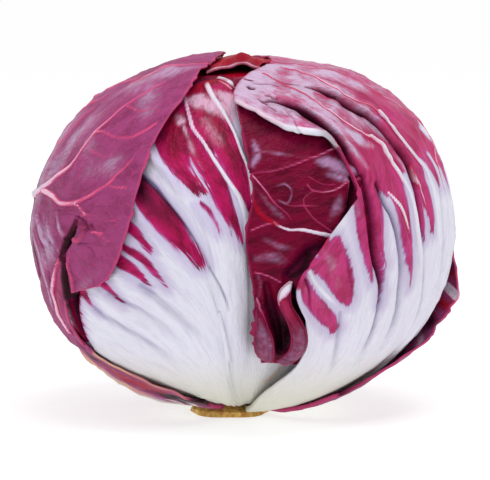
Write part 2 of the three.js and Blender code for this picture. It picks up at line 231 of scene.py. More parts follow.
class Sheet:
    """A leaf's grid while it is being shaped. Rows run from base to tip, columns left to right."""

    def __init__(self, net, level, across, up, tail_rows=TAIL_ROWS):
        self.tail_rows = tail_rows
        columns = []
        for column in net:
            values = np.array([list(point) + [0] * (3 - len(point)) for point in column], float)
            heights = values[:, 2:] + level
            columns.append(np.concatenate([direction(values[:, 0], values[:, 1]), heights], axis=1))
        at_rows = np.stack([smooth_curve(column, up) for column in columns])
        surface = np.moveaxis(smooth_curve(at_rows, across), 0, 1)
        if tail_rows:
            surface = np.concatenate([self.tail(surface[0]), surface])
            up = np.concatenate([np.full(tail_rows, up[0]), up])
        self.shape = surface.shape[:2]
        self.unit = unit_of(surface[..., :3])
        self.lift = surface[..., 3]
        self.u, self.v = np.meshgrid(across, up)
        self.azimuth, self.elevation = angles_of(self.unit)
        self.ground = self.unit * outline(self.unit)[..., None]
        self.measure()
        self.stain = np.full(self.shape, -FAR)
        self.ends = np.zeros(self.shape)
        self.paint = {name: np.zeros(self.shape) for name in PAINTS}

    def measure(self):
        """Millimetres from each margin, the place along the grain, and the narrowest stroke."""
        wide = np.linalg.norm(np.diff(self.ground, axis=1), axis=2)
        long = np.linalg.norm(np.diff(self.ground, axis=0), axis=2)
        self.from_left = np.pad(np.cumsum(wide, axis=1), ((0, 0), (1, 0)))
        self.to_right = self.from_left[:, -1:] - self.from_left
        self.from_base = np.pad(np.cumsum(long, axis=0), ((1, 0), (0, 0)))
        self.to_tip = self.from_base[-1:] - self.from_base
        self.grain = np.stack([self.u * self.from_left[:, -1].max(), self.from_base, 0 * self.u], axis=-1)
        spacing = np.maximum(np.gradient(self.from_left, axis=1), np.gradient(self.from_base, axis=0))
        self.finest = np.maximum(FINEST, STEP_SHARE * np.minimum(spacing, COARSEST) ** STEP_POWER)

    def tail(self, first):
        """Rows that carry the leaf's base on, inwards and up, into the stem's neck."""
        azimuth, elevation = angles_of(unit_of(first[:, :3]))
        rows = []
        for share in np.linspace(1, 0, self.tail_rows, endpoint=False):
            lower = direction(azimuth, elevation + share * (NECK_ELEVATION - elevation))
            rows.append(np.concatenate([lower, first[:, 3:] - TAIL_SINK * share], axis=1))
        return np.stack(rows)

    def trace(self, places):
        """Azimuths and elevations of places on the leaf, each a share across it and a share up it."""
        row = np.array([v for u, v in places]) * (self.shape[0] - 1 - self.tail_rows) + self.tail_rows
        column = np.array([u for u, v in places]) * (self.shape[1] - 1)
        row, column = np.rint(row).astype(int), np.rint(column).astype(int)
        return list(zip(self.azimuth[row, column], self.elevation[row, column]))

    def add(self, strokes):
        """Lays strokes on the leaf: height, stain and the other paints. Clear wipes stain away."""
        for one in strokes:
            reach = REACH_WIDTHS * np.max(one["width"]) + REACH_BEYOND
            away, place = distance_to(one["path"], self.ground.reshape(-1, 3), reach)
            away, place = away.reshape(self.shape), place.reshape(self.shape)
            width = along(one["width"], place)
            touch = np.exp(-((away / np.maximum(width, self.finest)) ** one["power"]))
            self.lift = self.lift + along(one["height"], place) * touch
            for name, amount in one["paint"].items():
                if name == "stain":
                    self.stain = np.maximum(self.stain, width * amount - away)
                    near = np.exp(-((away / (width + END_SPREAD)) ** 2))
                    self.ends = np.maximum(self.ends, near * ease((place - END_FROM) / END_RUN))
                elif name == "clear":
                    cleared = np.minimum(self.stain, away - width * amount)
                    self.stain = np.where(away < FAR, cleared, self.stain)
                else:
                    self.paint[name] = np.maximum(self.paint[name], along(amount, place) * touch)

    def points(self):
        return self.unit * (outline(self.unit) + self.lift)[..., None]


print("paints kept on each leaf:", PAINTS)

# %% [markdown]
# ## Margins
# A cut leaf has a straight edge; a grown one curls and has small irregular teeth. A bend modifier
# would curl a whole leaf, so the margin is rolled here row by row, each step turned a little more
# than the one before it, and the teeth push the last columns out by noise along the edge.

# %% Roll a margin and give it teeth
INNER_TEETH = ((1, 0), (0.6, 1), (0.25, 2))  # share of the push, and columns in from the edge


def roll_margin(points, side, length, turn):
    """Curls the left or right margin by turn degrees, outwards if positive, over length mm of it."""
    across = np.gradient(points, axis=1)
    up = np.gradient(points, axis=0)
    normals = np.moveaxis(unit_of(np.cross(across, up)), 1, 0)
    moved = np.moveaxis(points, 1, 0)
    if side == "left":
        moved, normals = moved[::-1], normals[::-1]
    moved = moved.copy()
    legs = np.diff(moved, axis=0)
    size = np.linalg.norm(legs, axis=2)
    to_margin = np.cumsum(size[::-1], axis=0)[::-1] - size / 2
    angle = np.radians(turn) * ease((length - to_margin) / np.maximum(length, 1e-6)) * (length > 0.01)
    for k in range(len(legs)):
        leg = legs[k] * np.cos(angle[k])[:, None] + normals[k] * (size[k] * np.sin(angle[k]))[:, None]
        moved[k + 1] = moved[k] + np.where((angle[k] == 0)[:, None], legs[k], leg)
    if side == "left":
        moved = moved[::-1]
    return np.moveaxis(moved, 0, 1)


def teeth(points, edge, size, spacing):
    """Small irregular teeth along the last column (edge -1) or the first one (edge 0)."""
    inner = -3 if edge == -1 else 2
    outwards = unit_of(points[:, edge] - points[:, inner])
    run = np.cumsum(np.linalg.norm(np.diff(points[:, edge], axis=0, prepend=points[:1, edge]), axis=1))
    spots = np.stack([run, run * 0, run * 0], axis=1)
    out = np.maximum(0, noise(spots, spacing)) ** 2 + 0.35 * noise(spots + 9, 2.5 * spacing)
    moved = points.copy()
    for share, k in INNER_TEETH:
        column = edge - k if edge == -1 else k
        moved[:, column] += outwards * (share * size * out)[:, None]
    return moved


def tip_teeth(points, size, spacing):
    """The same teeth along the leaf's tip."""
    return teeth(points.transpose(1, 0, 2), -1, size, spacing).transpose(1, 0, 2)


print("margins ready")

# %% [markdown]
# ## From a sheet to a mesh
# A grid primitive already has the right faces, so each leaf is that grid with its corners moved.
# Solidify then gives the blade its thickness on the side that the faces turn away from, more near
# the base, as on a real leaf, where the white midrib is several millimetres thick and the tip as
# thin as paper. Corners are kept just over the floor, so that no leaf sinks into the table.

# %% Make a leaf's mesh
THICKEST, LOWEST = 2.0, 0.2  # mm, the thickest blade and the least height over the floor
THINNEST_SHARE = 0.05
RIM_WIDTH = 0.35  # mm
BASE_SHARE = 0.22  # of the leaf's length
LEAST_FRAY, END_FRAY = 0.2, 0.8
CROSSING_FROM, CROSSING_RUN = 0.45, 0.5  # how steeply an edge crosses the grain when it frays


def base_thickness(sheet, extra):
    """The blade's thickness in mm, with extra at the very base of the leaf."""
    return BLADE + extra * np.exp(-((sheet.v / BASE_SHARE) ** 2))


def keep_paints(mesh, fields, grain):
    """Stores numbers, and the place along the grain, on a mesh's corners."""
    for key, values in fields.items():
        mesh.attributes.new(key, "FLOAT", "POINT").data.foreach_set("value", values.astype(np.float32))
    vectors = mesh.attributes.new("grain", "FLOAT_VECTOR", "POINT").data
    vectors.foreach_set("vector", grain.astype(np.float32).ravel())


def blade_object(name, sheet, points, thickness, material, raggedness=1.0):
    """One sheet as a mesh with its thickness, its paints and its material."""
    rows, columns = sheet.shape
    bpy.ops.object.select_all(action="DESELECT")
    bpy.ops.mesh.primitive_grid_add(x_subdivisions=columns - 1, y_subdivisions=rows - 1, size=2)
    piece = bpy.context.object
    piece.name = name + "_sheet"
    mesh = piece.data
    flat = np.empty(len(mesh.vertices) * 3)
    mesh.vertices.foreach_get("co", flat)
    flat = flat.reshape(-1, 3)
    column = np.rint((flat[:, 0] + 1) / 2 * (columns - 1)).astype(int)
    row = np.rint((flat[:, 1] + 1) / 2 * (rows - 1)).astype(int)
    placed = (points[row, column] + HEAD_CENTRE) * MM
    placed[:, 2] = np.maximum(placed[:, 2], (LOWEST + thickness[row, column]) * MM)
    mesh.vertices.foreach_set("co", placed.ravel())

    margin = np.minimum.reduce([sheet.from_left, sheet.to_right, sheet.to_tip])
    rim = np.exp(-((margin / RIM_WIDTH) ** 2))
    steps = np.gradient(sheet.from_base, axis=0) + 1e-3
    across_grain = np.abs(np.gradient(sheet.stain, axis=0) / steps)
    crossing = ease((across_grain - CROSSING_FROM) / CROSSING_RUN)
    fray = raggedness * np.maximum(LEAST_FRAY + (1 - LEAST_FRAY) * crossing, END_FRAY * sheet.ends)
    fields = {"stain": sheet.stain, "fray": fray, "rim": rim, **sheet.paint}
    fields = {key: values[row, column] for key, values in fields.items()}
    keep_paints(mesh, fields, sheet.grain[row, column])

    group = piece.vertex_groups.new(name="thickness")
    share = np.clip(thickness[row, column] / THICKEST, THINNEST_SHARE, 1)
    for level in np.unique(np.round(share, 2)):
        members = np.flatnonzero(np.round(share, 2) == level)
        group.add(members.tolist(), float(level), "REPLACE")
    solid = piece.modifiers.new("blade", "SOLIDIFY")
    solid.thickness = THICKEST * MM
    solid.offset = -1
    solid.vertex_group = "thickness"
    bpy.ops.object.modifier_apply(modifier="blade")
    bpy.ops.object.shade_smooth()
    piece.vertex_groups.clear()
    piece.data.materials.clear()
    piece.data.materials.append(material)
    length = sheet.from_base[-1, columns // 2]
    print(name, "length:", round(length), "mm")
    return piece


def leaf_object(name, slot, *blades):
    """One leaf from its blades: joined, parented to the root, and shown in place of the solid of that name,
    which is hidden.
    """
    bpy.ops.object.select_all(action="DESELECT")
    for blade in blades:
        blade.select_set(True)
    piece = blades[0]
    bpy.context.view_layer.objects.active = piece
    if len(blades) > 1:
        bpy.ops.object.join()
    piece.name = name + "_blade"
    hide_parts(name)
    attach(piece, "root")
    print(name, "triangles:", 2 * len(piece.data.polygons))


print("a blade is", BLADE, "mm thick")

# %% [markdown]
# ## Materials
# Colours are written as they look on screen and turned into linear light by one function. One more
# adds a node with its settings and what feeds it. Most of a leaf's look is thin coats of colour, each
# laid over the last where some value has passed a mark, so that has a function of its own too.

# %% Colour and node helpers
def linear(code):
    """Linear red, green, blue, alpha from an sRGB hex value."""
    values = [int(code[k : k + 2], 16) / 255 for k in (1, 3, 5)]
    return [v / 12.92 if v <= 0.04045 else ((v + 0.055) / 1.055) ** 2.4 for v in values] + [1]


def bare_material(name):
    """A material with no nodes yet."""
    made = bpy.data.materials.new(name)
    made.use_nodes = True
    made.node_tree.nodes.clear()
    return made


def add_node(tree, kind, feeds=(), output=0, **settings):
    """Adds a node and gives back one of its outputs. Settings name its properties. Feeds are values,
    or other nodes' outputs, for its first sockets in turn or for the sockets that a dictionary names."""
    made = tree.nodes.new("ShaderNode" + kind)
    for key, value in settings.items():
        setattr(made, key, value)
    for key, value in feeds.items() if isinstance(feeds, dict) else enumerate(feeds):
        socket = made.inputs[key]
        if isinstance(value, bpy.types.NodeSocket):
            tree.links.new(value, socket)
        else:
            socket.default_value = value
    return made.outputs[output] if len(made.outputs) else None


def coat(tree, under, paint, value, low, high, strength=1.0):
    """Lays a colour over another: none of it where the value is low, and all of it where it is high."""
    share = add_node(tree, "MapRange", (value, low, high), interpolation_type="SMOOTHSTEP")
    if strength != 1.0:
        share = add_node(tree, "Math", (share, strength), operation="MULTIPLY")
    return add_node(tree, "Mix", {0: share, 6: under, 7: paint}, 2, data_type="RGBA")


print("middle grey in linear light:", round(linear("#808080")[0], 3))

# %% [markdown]
# ### Leaf blade
# A leaf is a waxy skin over wet, partly clear cells. Light sinks in a little, and the wax gives a
# soft, broad shine. Shade in folds is painted: it turns red areas crimson, then near black, and
# white ones lilac-grey. A pale paint stands for the wax bloom and for painted sheen. The
# anthocyanin red sits in the cells between the veins, so it ends in ragged streaks along the leaf:
# the stain's distance is disturbed by noise that is drawn out along the grain before it is cut
# off. The finest net of veins is the edges of a cell pattern, because real veins close round
# fields a few millimetres across.

# %% Leaf materials
# Streaks of noise: width and length in mm, and detail
STREAKS = dict(broad=(1.1, 9.0, 3.0), fine=(0.35, 4.0, 2.0), cloud=(6.0, 9.0, 3.0), mottle=(1.6, 1.9, 4.0),
               folds=(4.5, 7.0, 1.5))
VEIN_FIELD = (2.8, 4.4)  # mm, across and along the leaf
VEIN_WANDER = 3.5  # mm
RAGGED, COMBED = 6.5, 2.2  # mm that broad and fine streaks move the magenta's edge
GROWN_OVER, STEM_CREAM = 0.026, 0.004  # m over the table, where the base turns from lilac to cream
# Shared colours. Two of them are painted shade over red, crimson and then near black, and one is painted
# shade over white.
SHARED_COLOURS = dict(cream="#d9d9bd", flush="#a00424", dried="#dfb096", white_shade="#8d84a4",
                      fold="#5a0c32", deep_fold="#2a0514")


def leaf_material(name, roughness, shine, veining, **colours):
    """A leaf's finish. Its colours run from the white rib through the fringe to the deepest red."""
    made = bare_material(name)
    tree = made.node_tree
    paint = {key: linear(code) for key, code in {**SHARED_COLOURS, **colours}.items()}
    grain = add_node(tree, "Attribute", output="Vector", attribute_name="grain")
    keys = ("stain", "fray", "rim", *PAINTS)
    amounts = [add_node(tree, "Attribute", output="Fac", attribute_name=key) for key in keys]
    stain, fray, rim, rib, white_rib, flush, shade, bloom, tan = amounts

    streaks = {}
    for key, (wide, long, detail) in STREAKS.items():
        spread = add_node(tree, "Mapping", {"Vector": grain, "Scale": (1 / wide, 1 / long, 1)})
        feeds = {"Vector": spread, "Scale": 1.0, "Detail": detail, "Roughness": 0.6}
        streaks[key] = add_node(tree, "TexNoise", feeds)
    broad, fine, cloud, mottle, folds = streaks.values()
    from_fold = add_node(tree, "Math", (folds, 0.5), operation="SUBTRACT")
    from_fold = add_node(tree, "Math", (from_fold,), operation="ABSOLUTE")
    crease = add_node(tree, "MapRange", (from_fold, 0.03, 0.0), interpolation_type="SMOOTHSTEP")

    wander = add_node(tree, "TexNoise", {"Vector": grain, "Scale": 0.35, "Detail": 2.0}, "Color")
    wander = add_node(tree, "VectorMath", {0: wander, "Scale": VEIN_WANDER}, operation="SCALE")
    bent = add_node(tree, "VectorMath", (grain, wander), operation="ADD")
    scale = (1 / VEIN_FIELD[0], 1 / VEIN_FIELD[1], 1)
    fields = add_node(tree, "Mapping", {"Vector": bent, "Scale": scale})
    from_vein = add_node(tree, "TexVoronoi", {"Vector": fields, "Scale": 1.0}, "Distance",
                         feature="DISTANCE_TO_EDGE", voronoi_dimensions="2D")
    network = add_node(tree, "MapRange", (from_vein, 0.08, 0.0), interpolation_type="SMOOTHSTEP")
    clouded = add_node(tree, "MapRange", (cloud, 0.3, 0.6), interpolation_type="SMOOTHSTEP")
    faint = add_node(tree, "Math", (network, clouded), operation="MULTIPLY")

    edge = stain
    for streak, reach in ((broad, RAGGED), (fine, COMBED)):
        swing = add_node(tree, "Math", (streak, 0.5), operation="SUBTRACT")
        reach = add_node(tree, "Math", (fray, reach), operation="MULTIPLY")
        moved = add_node(tree, "Math", (swing, reach), operation="MULTIPLY")
        edge = add_node(tree, "Math", (edge, moved), operation="ADD")
    covered = add_node(tree, "MapRange", (edge, -0.4, 0.35), interpolation_type="SMOOTHSTEP")

    place = add_node(tree, "TexCoord", output="Object")
    height = add_node(tree, "SeparateXYZ", {"Vector": place}, "Z")
    base = coat(tree, paint["white"], paint["lilac"], edge, -4.0, -0.1)
    base = coat(tree, base, paint["lilac"], broad, 0.45, 0.72, 0.45)
    base = coat(tree, base, paint["lilac"], fine, 0.5, 0.75, 0.22)
    base = coat(tree, base, paint["cream"], height, GROWN_OVER, STEM_CREAM, 0.7)

    inside = coat(tree, paint["fringe"], paint["light"], edge, 0.0, 0.9)
    inside = coat(tree, inside, paint["middle"], edge, 0.9, 4.5)
    inside = coat(tree, inside, paint["deep"], cloud, 0.4, 0.66, 0.8)
    inside = coat(tree, inside, paint["light"], mottle, 0.52, 0.78, 0.35)
    inside = coat(tree, inside, paint["light"], fine, 0.5, 0.75, 0.08)
    share = add_node(tree, "Math", (faint, veining), operation="MULTIPLY")
    inside = add_node(tree, "Mix", {0: share, 6: inside, 7: paint["vein_edge"]}, 2, data_type="RGBA")
    colour = add_node(tree, "Mix", {0: covered, 6: base, 7: inside}, 2, data_type="RGBA")

    # Painted sheen: the pale paint for wax bloom and highlights, broken into patches by noise.
    patchy = add_node(tree, "Math", (mottle, cloud), operation="ADD")
    patchy = add_node(tree, "Math", (patchy, 1.0), operation="SUBTRACT")
    patchy = add_node(tree, "Math", (patchy, bloom), operation="MULTIPLY")
    patchy = add_node(tree, "Math", (patchy, 2.0), operation="MULTIPLY")
    sheen = add_node(tree, "Math", (bloom, patchy), operation="ADD")
    colour = coat(tree, colour, paint["bloom"], sheen, 0.05, 1.15, 0.9)

    # Ribs have rough sides. A pink one shows only on the red, and a white one is edged with pink.
    swing = add_node(tree, "Math", (fine, 0.5), operation="SUBTRACT")
    rough_ribs = []
    for one, amount in ((rib, 0.2), (white_rib, 0.35)):
        sides = add_node(tree, "Math", (swing, amount), operation="MULTIPLY")
        rough_ribs.append(add_node(tree, "Math", (one, sides), operation="ADD"))
    pink, crisp = rough_ribs
    on_red = add_node(tree, "Math", (covered, 0.96), operation="MULTIPLY")
    on_red = add_node(tree, "Math", (0.04, on_red), operation="ADD")
    pink = add_node(tree, "Math", (pink, on_red), operation="MULTIPLY")
    colour = coat(tree, colour, paint["vein_edge"], pink, 0.2, 0.55)
    colour = coat(tree, colour, paint["vein"], pink, 0.55, 0.95)
    colour = coat(tree, colour, paint["vein"], crisp, 0.15, 0.4, covered)
    colour = coat(tree, colour, paint["white"], crisp, 0.35, 0.75)

    rim_share = add_node(tree, "Math", (covered, 0.6), operation="MULTIPLY")
    rim_share = add_node(tree, "Math", (rim, rim_share), operation="MULTIPLY")
    for share, key in ((flush, "flush"), (rim_share, "vein_edge"), (tan, "dried")):
        colour = add_node(tree, "Mix", {0: share, 6: colour, 7: paint[key]}, 2, data_type="RGBA")
    # Painted shade: where the shade paint lies, white is multiplied towards lilac-grey and red turns dark
    # crimson, then near black.
    in_white = add_node(tree, "Mix", {0: 1.0, 6: colour, 7: paint["white_shade"]}, 2, data_type="RGBA",
                        blend_type="MULTIPLY")
    in_red = coat(tree, paint["fold"], paint["deep_fold"], shade, 0.45, 1.1)
    folded = add_node(tree, "Mix", {0: covered, 6: in_white, 7: in_red}, 2, data_type="RGBA")
    colour = coat(tree, colour, folded, shade, 0.0, 0.8)

    # Heights in mm of what is too fine for the mesh
    creased = add_node(tree, "Math", (crease, covered), operation="MULTIPLY")
    veined = add_node(tree, "Math", (faint, covered), operation="MULTIPLY")
    relief = add_node(tree, "Math", (fine, 0.03), operation="MULTIPLY")
    for part, rise in ((mottle, 0.36), (creased, 0.1), (broad, 0.08), (veined, 0.08)):
        part = add_node(tree, "Math", (part, rise), operation="MULTIPLY")
        relief = add_node(tree, "Math", (relief, part), operation="ADD")
    normal = add_node(tree, "Bump", {"Height": relief, "Strength": 0.9, "Distance": MM})
    cells = {"Subsurface Weight": 0.12, "Subsurface Scale": 0.0012, "Subsurface Radius": (1.0, 0.35, 0.45)}
    skin = {"Base Color": colour, "Roughness": roughness, "IOR": 1.42, "Specular IOR Level": shine}
    shader = add_node(tree, "BsdfPrincipled", {**skin, **cells, "Normal": normal})
    add_node(tree, "OutputMaterial", {"Surface": shader})
    print(name, "nodes:", len(tree.nodes))
    return made


white_leaf = leaf_material(
    "waxy_leaf_white_based", white="#dad9e5", lilac="#bfb6d2", fringe="#b0408c", light="#b01058",
    middle="#8e0634", deep="#600020", vein="#e3b4cf", vein_edge="#b81c50", bloom="#d6aac4",
    roughness=0.42, shine=0.14, veining=0.15)
pleated_leaf = leaf_material(
    "waxy_leaf_pleated", white="#dcdae6", lilac="#c2b8d2", fringe="#a64d96", light="#bd3a78",
    middle="#b03a6a", deep="#96244e", vein="#e6bcd0", vein_edge="#bc2c5a", bloom="#c6b0cc",
    roughness=0.42, shine=0.14, veining=0.28)
crimson_leaf = leaf_material(
    "waxy_leaf_crimson", white="#d6cfde", lilac="#b99cc0", fringe="#8a3c76", light="#841044",
    middle="#70022c", deep="#4a001a", vein="#cf93b4", vein_edge="#9c2c58", bloom="#ab82ac",
    roughness=0.34, shine=0.08, veining=0.14)
dusky_leaf = leaf_material(
    "bloomed_leaf_dusky", white="#d6cfde", lilac="#bba4c6", fringe="#a86aa0", light="#a45488",
    middle="#973c70", deep="#7e2a58", vein="#e8b8d0", vein_edge="#cc4a78", bloom="#b998b8",
    roughness=0.46, shine=0.14, veining=0.3)

# %% [markdown]
# ## Ribs that fan out
# Every leaf of chicory has the same plan: ribs leave the stem together, spread like a fan, get
# thinner and turn from white to pink, and send branches out to the margin. The sides and the back
# follow that plan, with seeded changes so that no two ribs are alike. Places on a leaf are shares:
# the first across it, the second up it. A texture of veins would be quicker, but it wouldn't catch
# the light, so each rib is a stroke. A crumple is noise in the surface itself, for thin leaf that
# has been pressed; the pale wax paint is made stronger on its tops and weaker in its hollows, as a
# painted highlight.

# %% Fan of ribs and crumpled skin
RIB_STEPS, BRANCHES = 7, 4
RIB_SWAY = 0.008  # share of the leaf's width
RIB_TAPER = np.array([1, 0.85, 0.65, 0.45, 0.3, 0.18, 0.1])
FIRST_BRANCH, BRANCHED = 0.34, 0.56  # shares of the rib's length
BRANCH_REACH = (0.06, 0.1)
seeded = np.random.default_rng(5)


def fan_ribs(sheet, ribs):
    """Strokes for ribs given as (start across, end across, end up the leaf, half width at the base)."""
    strokes = []
    for start, end, top, width in ribs:
        steps = np.linspace(0, 1, RIB_STEPS)
        sway = seeded.uniform(-RIB_SWAY, RIB_SWAY, RIB_STEPS)
        across = start + (end - start) * steps**1.3 + sway
        path = sheet.trace(list(zip(np.clip(across, 0, 1), 0.01 + (top - 0.01) * steps)))
        widths = width * RIB_TAPER
        strokes.append(stroke(path[:6], widths[:6], (0.5, 1.1, 1, 0.8, 0.5, 0.2), power=3, clear=0.9))
        strokes.append(stroke(path[2:], (0.55, 0.5, 0.4, 0.3, 0.2), 0.25, rib=(0, 0.9, 1, 0.9, 0.5)))
        for k in range(BRANCHES):
            place = FIRST_BRANCH + BRANCHED * (k + seeded.uniform(0.1, 0.9)) / BRANCHES
            side = 1 if k % 2 else -1
            u, v = np.interp(place, steps, across), top * place
            reach = side * seeded.uniform(*BRANCH_REACH)
            bend = [(u, v), (u + 0.35 * reach, v + 0.035), (u + 0.75 * reach, v + 0.055),
                    (u + reach, v + 0.1)]
            path = sheet.trace(np.clip(bend, 0, 0.99))
            strokes.append(stroke(path, (0.3, 0.25, 0.2, 0.14), 0.2, rib=(0.95, 0.8, 0.6, 0.3)))
    return strokes


def crumple(sheet, height, size):
    """Sharp little folds like those of thin leaf, from ridges in the noise; their tops get painted sheen."""
    ridges = 1 - 2 * np.abs(noise(sheet.ground, size)) ** 0.8
    folds = 0.6 * ridges + 0.4 * noise(sheet.ground + 40, 0.45 * size)
    sheet.lift += height * folds
    sheet.paint["bloom"] *= 0.58 + 0.82 * ease(0.5 + folds)


print("a rib has", RIB_STEPS, "points and", BRANCHES, "branches")

# %% [markdown]
# ## The front leaf
# The outermost leaf in front, and the palest: its white base fills the lower front, thick ribs fan
# up and to the left from it, and the magenta between them breaks up towards the base. An image
# could be wrapped round the head for this, but strokes stay sharp, and they raise the ribs as well.

# %% The front leaf's net
FRONT_NET = [
    [(-60, -76, -1), (-80, -64, -1), (-92, -50, -0.8), (-98, -36, -0.8), (-100, -22, -1.3),
     (-100, -6, -1.8), (-98, 8, -1.8)],
    [(-48, -76, -0.4), (-60, -62, 0.3), (-71, -48, 0.5), (-79, -34, 0.6), (-84, -22, -0.2),
     (-88, -6, -1.6), (-94, 12, -1.8)],
    [(-32, -75, -0.4), (-30, -56), (-40, -38, 0.6), (-52, -26, 0.6), (-66, -16, -0.4), (-80, -4, -1.6),
     (-88, 16, -1.6)],
    [(-15, -75, 0.2), (-9, -50, 0.4), (-14, -26, 0.6), (-24, -13, 0.6), (-38, -6, 0.2), (-56, 6, -0.2),
     (-72, 28, -0.6)],
    [(-6, -75, 0.2), (-5, -50, 0.3), (-6, -24, 0.4), (-12, -7, 0.4), (-24, 6, 0.2), (-38, 22, -0.2),
     (-54, 44, -0.6)],
    [(-2, -75, 0.2), (-3, -50, 0.2), (-5, -24, 0), (-9, -3, 0), (-17, 14, 0), (-30, 31, -0.4),
     (-38, 56, -0.8)],
    [(5, -75, -0.4), (1, -50, -0.6), (1, -24, -1.6), (0, 0, -1.8), (-5, 16, -1.4), (-15, 34, -1.2),
     (-20, 67, -1.2)],
    [(12, -75, -0.4), (6, -50, -1), (4, -24, -3), (3, 0, -3.4), (1, 20, -2.4), (-6, 38, -1.8),
     (-10, 70, -1.6)],
    [(24, -75, -1), (17, -50, -2.4), (15, -24, -5.4), (14, 0, -5.4), (11, 21, -4), (3, 40, -2.6),
     (-2, 70, -2)],
    [(50, -75, -2), (42, -50, -5), (36, -25, -8), (33, 0, -7), (28, 22, -5), (18, 42, -3), (8, 70, -2.2)],
]
print("columns in the front leaf's net:", len(FRONT_NET))

# %% The front leaf's magenta
FRONT_STAINS = stains([
    ([(-27, 50), (-25, 38), (-21.5, 29), (-17.5, 22), (-13, 17.8), (-11.5, 16.5)],
     (9, 7.5, 6, 4.4, 2.6, 1.5)),
    ([(-16, 36), (-12, 27), (-8.5, 20)], (4, 3.6, 2.4)),
    ([(-9, 24), (-6, 16), (-3, 9), (0, 3)], (3, 2.6, 2.1, 0.8)),
    ([(-18, 50), (-10, 38), (-4, 28), (0, 19), (2.5, 10), (3, 3)], (6, 5.5, 4, 3, 1.8, 0.8)),
    ([(-30, 61), (-16, 60), (-4, 58), (8, 44), (8, 32)], (7, 7, 7, 5, 3)),
    ([(-11, 12.7), (-9.2, 11), (-7.6, 8), (-6.2, 5.8)], (0.8, 1.0, 0.8, 0.3)),
    ([(-31, 18), (-25, 12), (-19.5, 7), (-15, 2), (-12.2, -1.4), (-11, -3)],
     (2.2, 3.6, 3.8, 3.3, 2.4, 1.4)),
    ([(-33, 7), (-30, 5), (-26.5, 1.8), (-24.6, -0.4)], (1.8, 1.6, 0.9, 0.2)),
    ([(-34, 1), (-28, -2), (-24, -5.4), (-20.8, -9.4)], (1, 1.2, 1.1, 0.3)),
    ([(-37, -2), (-31, -5), (-28, -7.3), (-25.7, -9.9)], (2, 1.9, 1.2, 0.3)),
    ([(-44, -8), (-39, -12), (-35.6, -15.2)], (1.8, 1.2, 0.2)),
    ([(-52, -12), (-49.5, -16), (-47, -18.6)], (1.8, 1.1, 0.2)),
    ([(-52, -3), (-54, -9), (-57, -15), (-60.5, -20.5), (-65, -27), (-72, -33)],
     (3, 3.2, 3.4, 3.6, 3.4, 2.4)),
    ([(-66, 20), (-60, 30), (-50, 45)], (16, 16, 12)),
])
print("magenta strokes:", len(FRONT_STAINS))

# %% The front leaf's ribs
FRONT_RIBS = [
    stroke([(-33, 31), (-28, 26), (-21, 20.5), (-14, 13.3), (-8, 6), (-5.5, -3.5), (-3, -11), (-2.5, -19),
            (-1, -40)], (0.9, 1.2, 1.6, 2.1, 2.6, 2.8, 2.8, 3.2, 3.4),
           (1, 1.3, 1.4, 1.4, 1.3, 1.2, 0.9, 0.6, 0.2), power=3, clear=0.75),
    stroke([(-34, 15), (-29.5, 10.2), (-26.5, 7.2), (-23, 3.8), (-20, 0.5), (-15.5, -4), (-11, -8.5),
            (-4.5, -17)], (1, 1.2, 1.5, 1.7, 1.7, 2, 2.2, 3), (0.6, 0.9, 1, 0.9, 0.8, 0.6, 0.4), power=3,
           clear=0.75),
    stroke([(-15, 24), (-12.3, 20), (-9.8, 16), (-7.3, 12), (-5.2, 8.8), (-2.8, 5.6), (-1, 2)],
           (0.2, 0.2, 0.25, 0.35, 0.5, 0.8, 1.1), 0.3, clear=0.8, rib=(0.7, 0.8, 0.8, 0)),
    stroke([(-24.5, 47), (-19.5, 40), (-16.5, 35), (-12.5, 31), (-9, 26.5), (-6, 22.5), (-3.5, 19),
            (-1, 15.5), (0.5, 12), (1.5, 8.5), (2, 3)],
           (0.2, 0.22, 0.26, 0.32, 0.38, 0.42, 0.48, 0.58, 0.75, 1, 1.4), 0.6, power=3,
           white=(0.35, 0.5, 0.8, 1, 1, 1, 1), clear=0.5),
    stroke([(-18.5, 55), (-15, 51), (-12, 47.5), (-8, 43), (-4.5, 38), (-2, 33.5), (0, 28.5), (1.5, 25),
            (2.5, 21.5), (3.5, 14)], (0.2, 0.28, 0.32, 0.36, 0.4, 0.45, 0.5, 0.55, 0.6), 0.7, power=3,
           white=(0.6, 0.8, 1, 1, 1, 1, 1, 1, 1)),
    stroke([(-14, 60.5), (-10, 59.5), (-6, 57), (-2, 53.5)], (0.25, 0.4, 0.42, 0.35), 0.7, power=3,
           white=1),
]
print("ribs:", len(FRONT_RIBS))
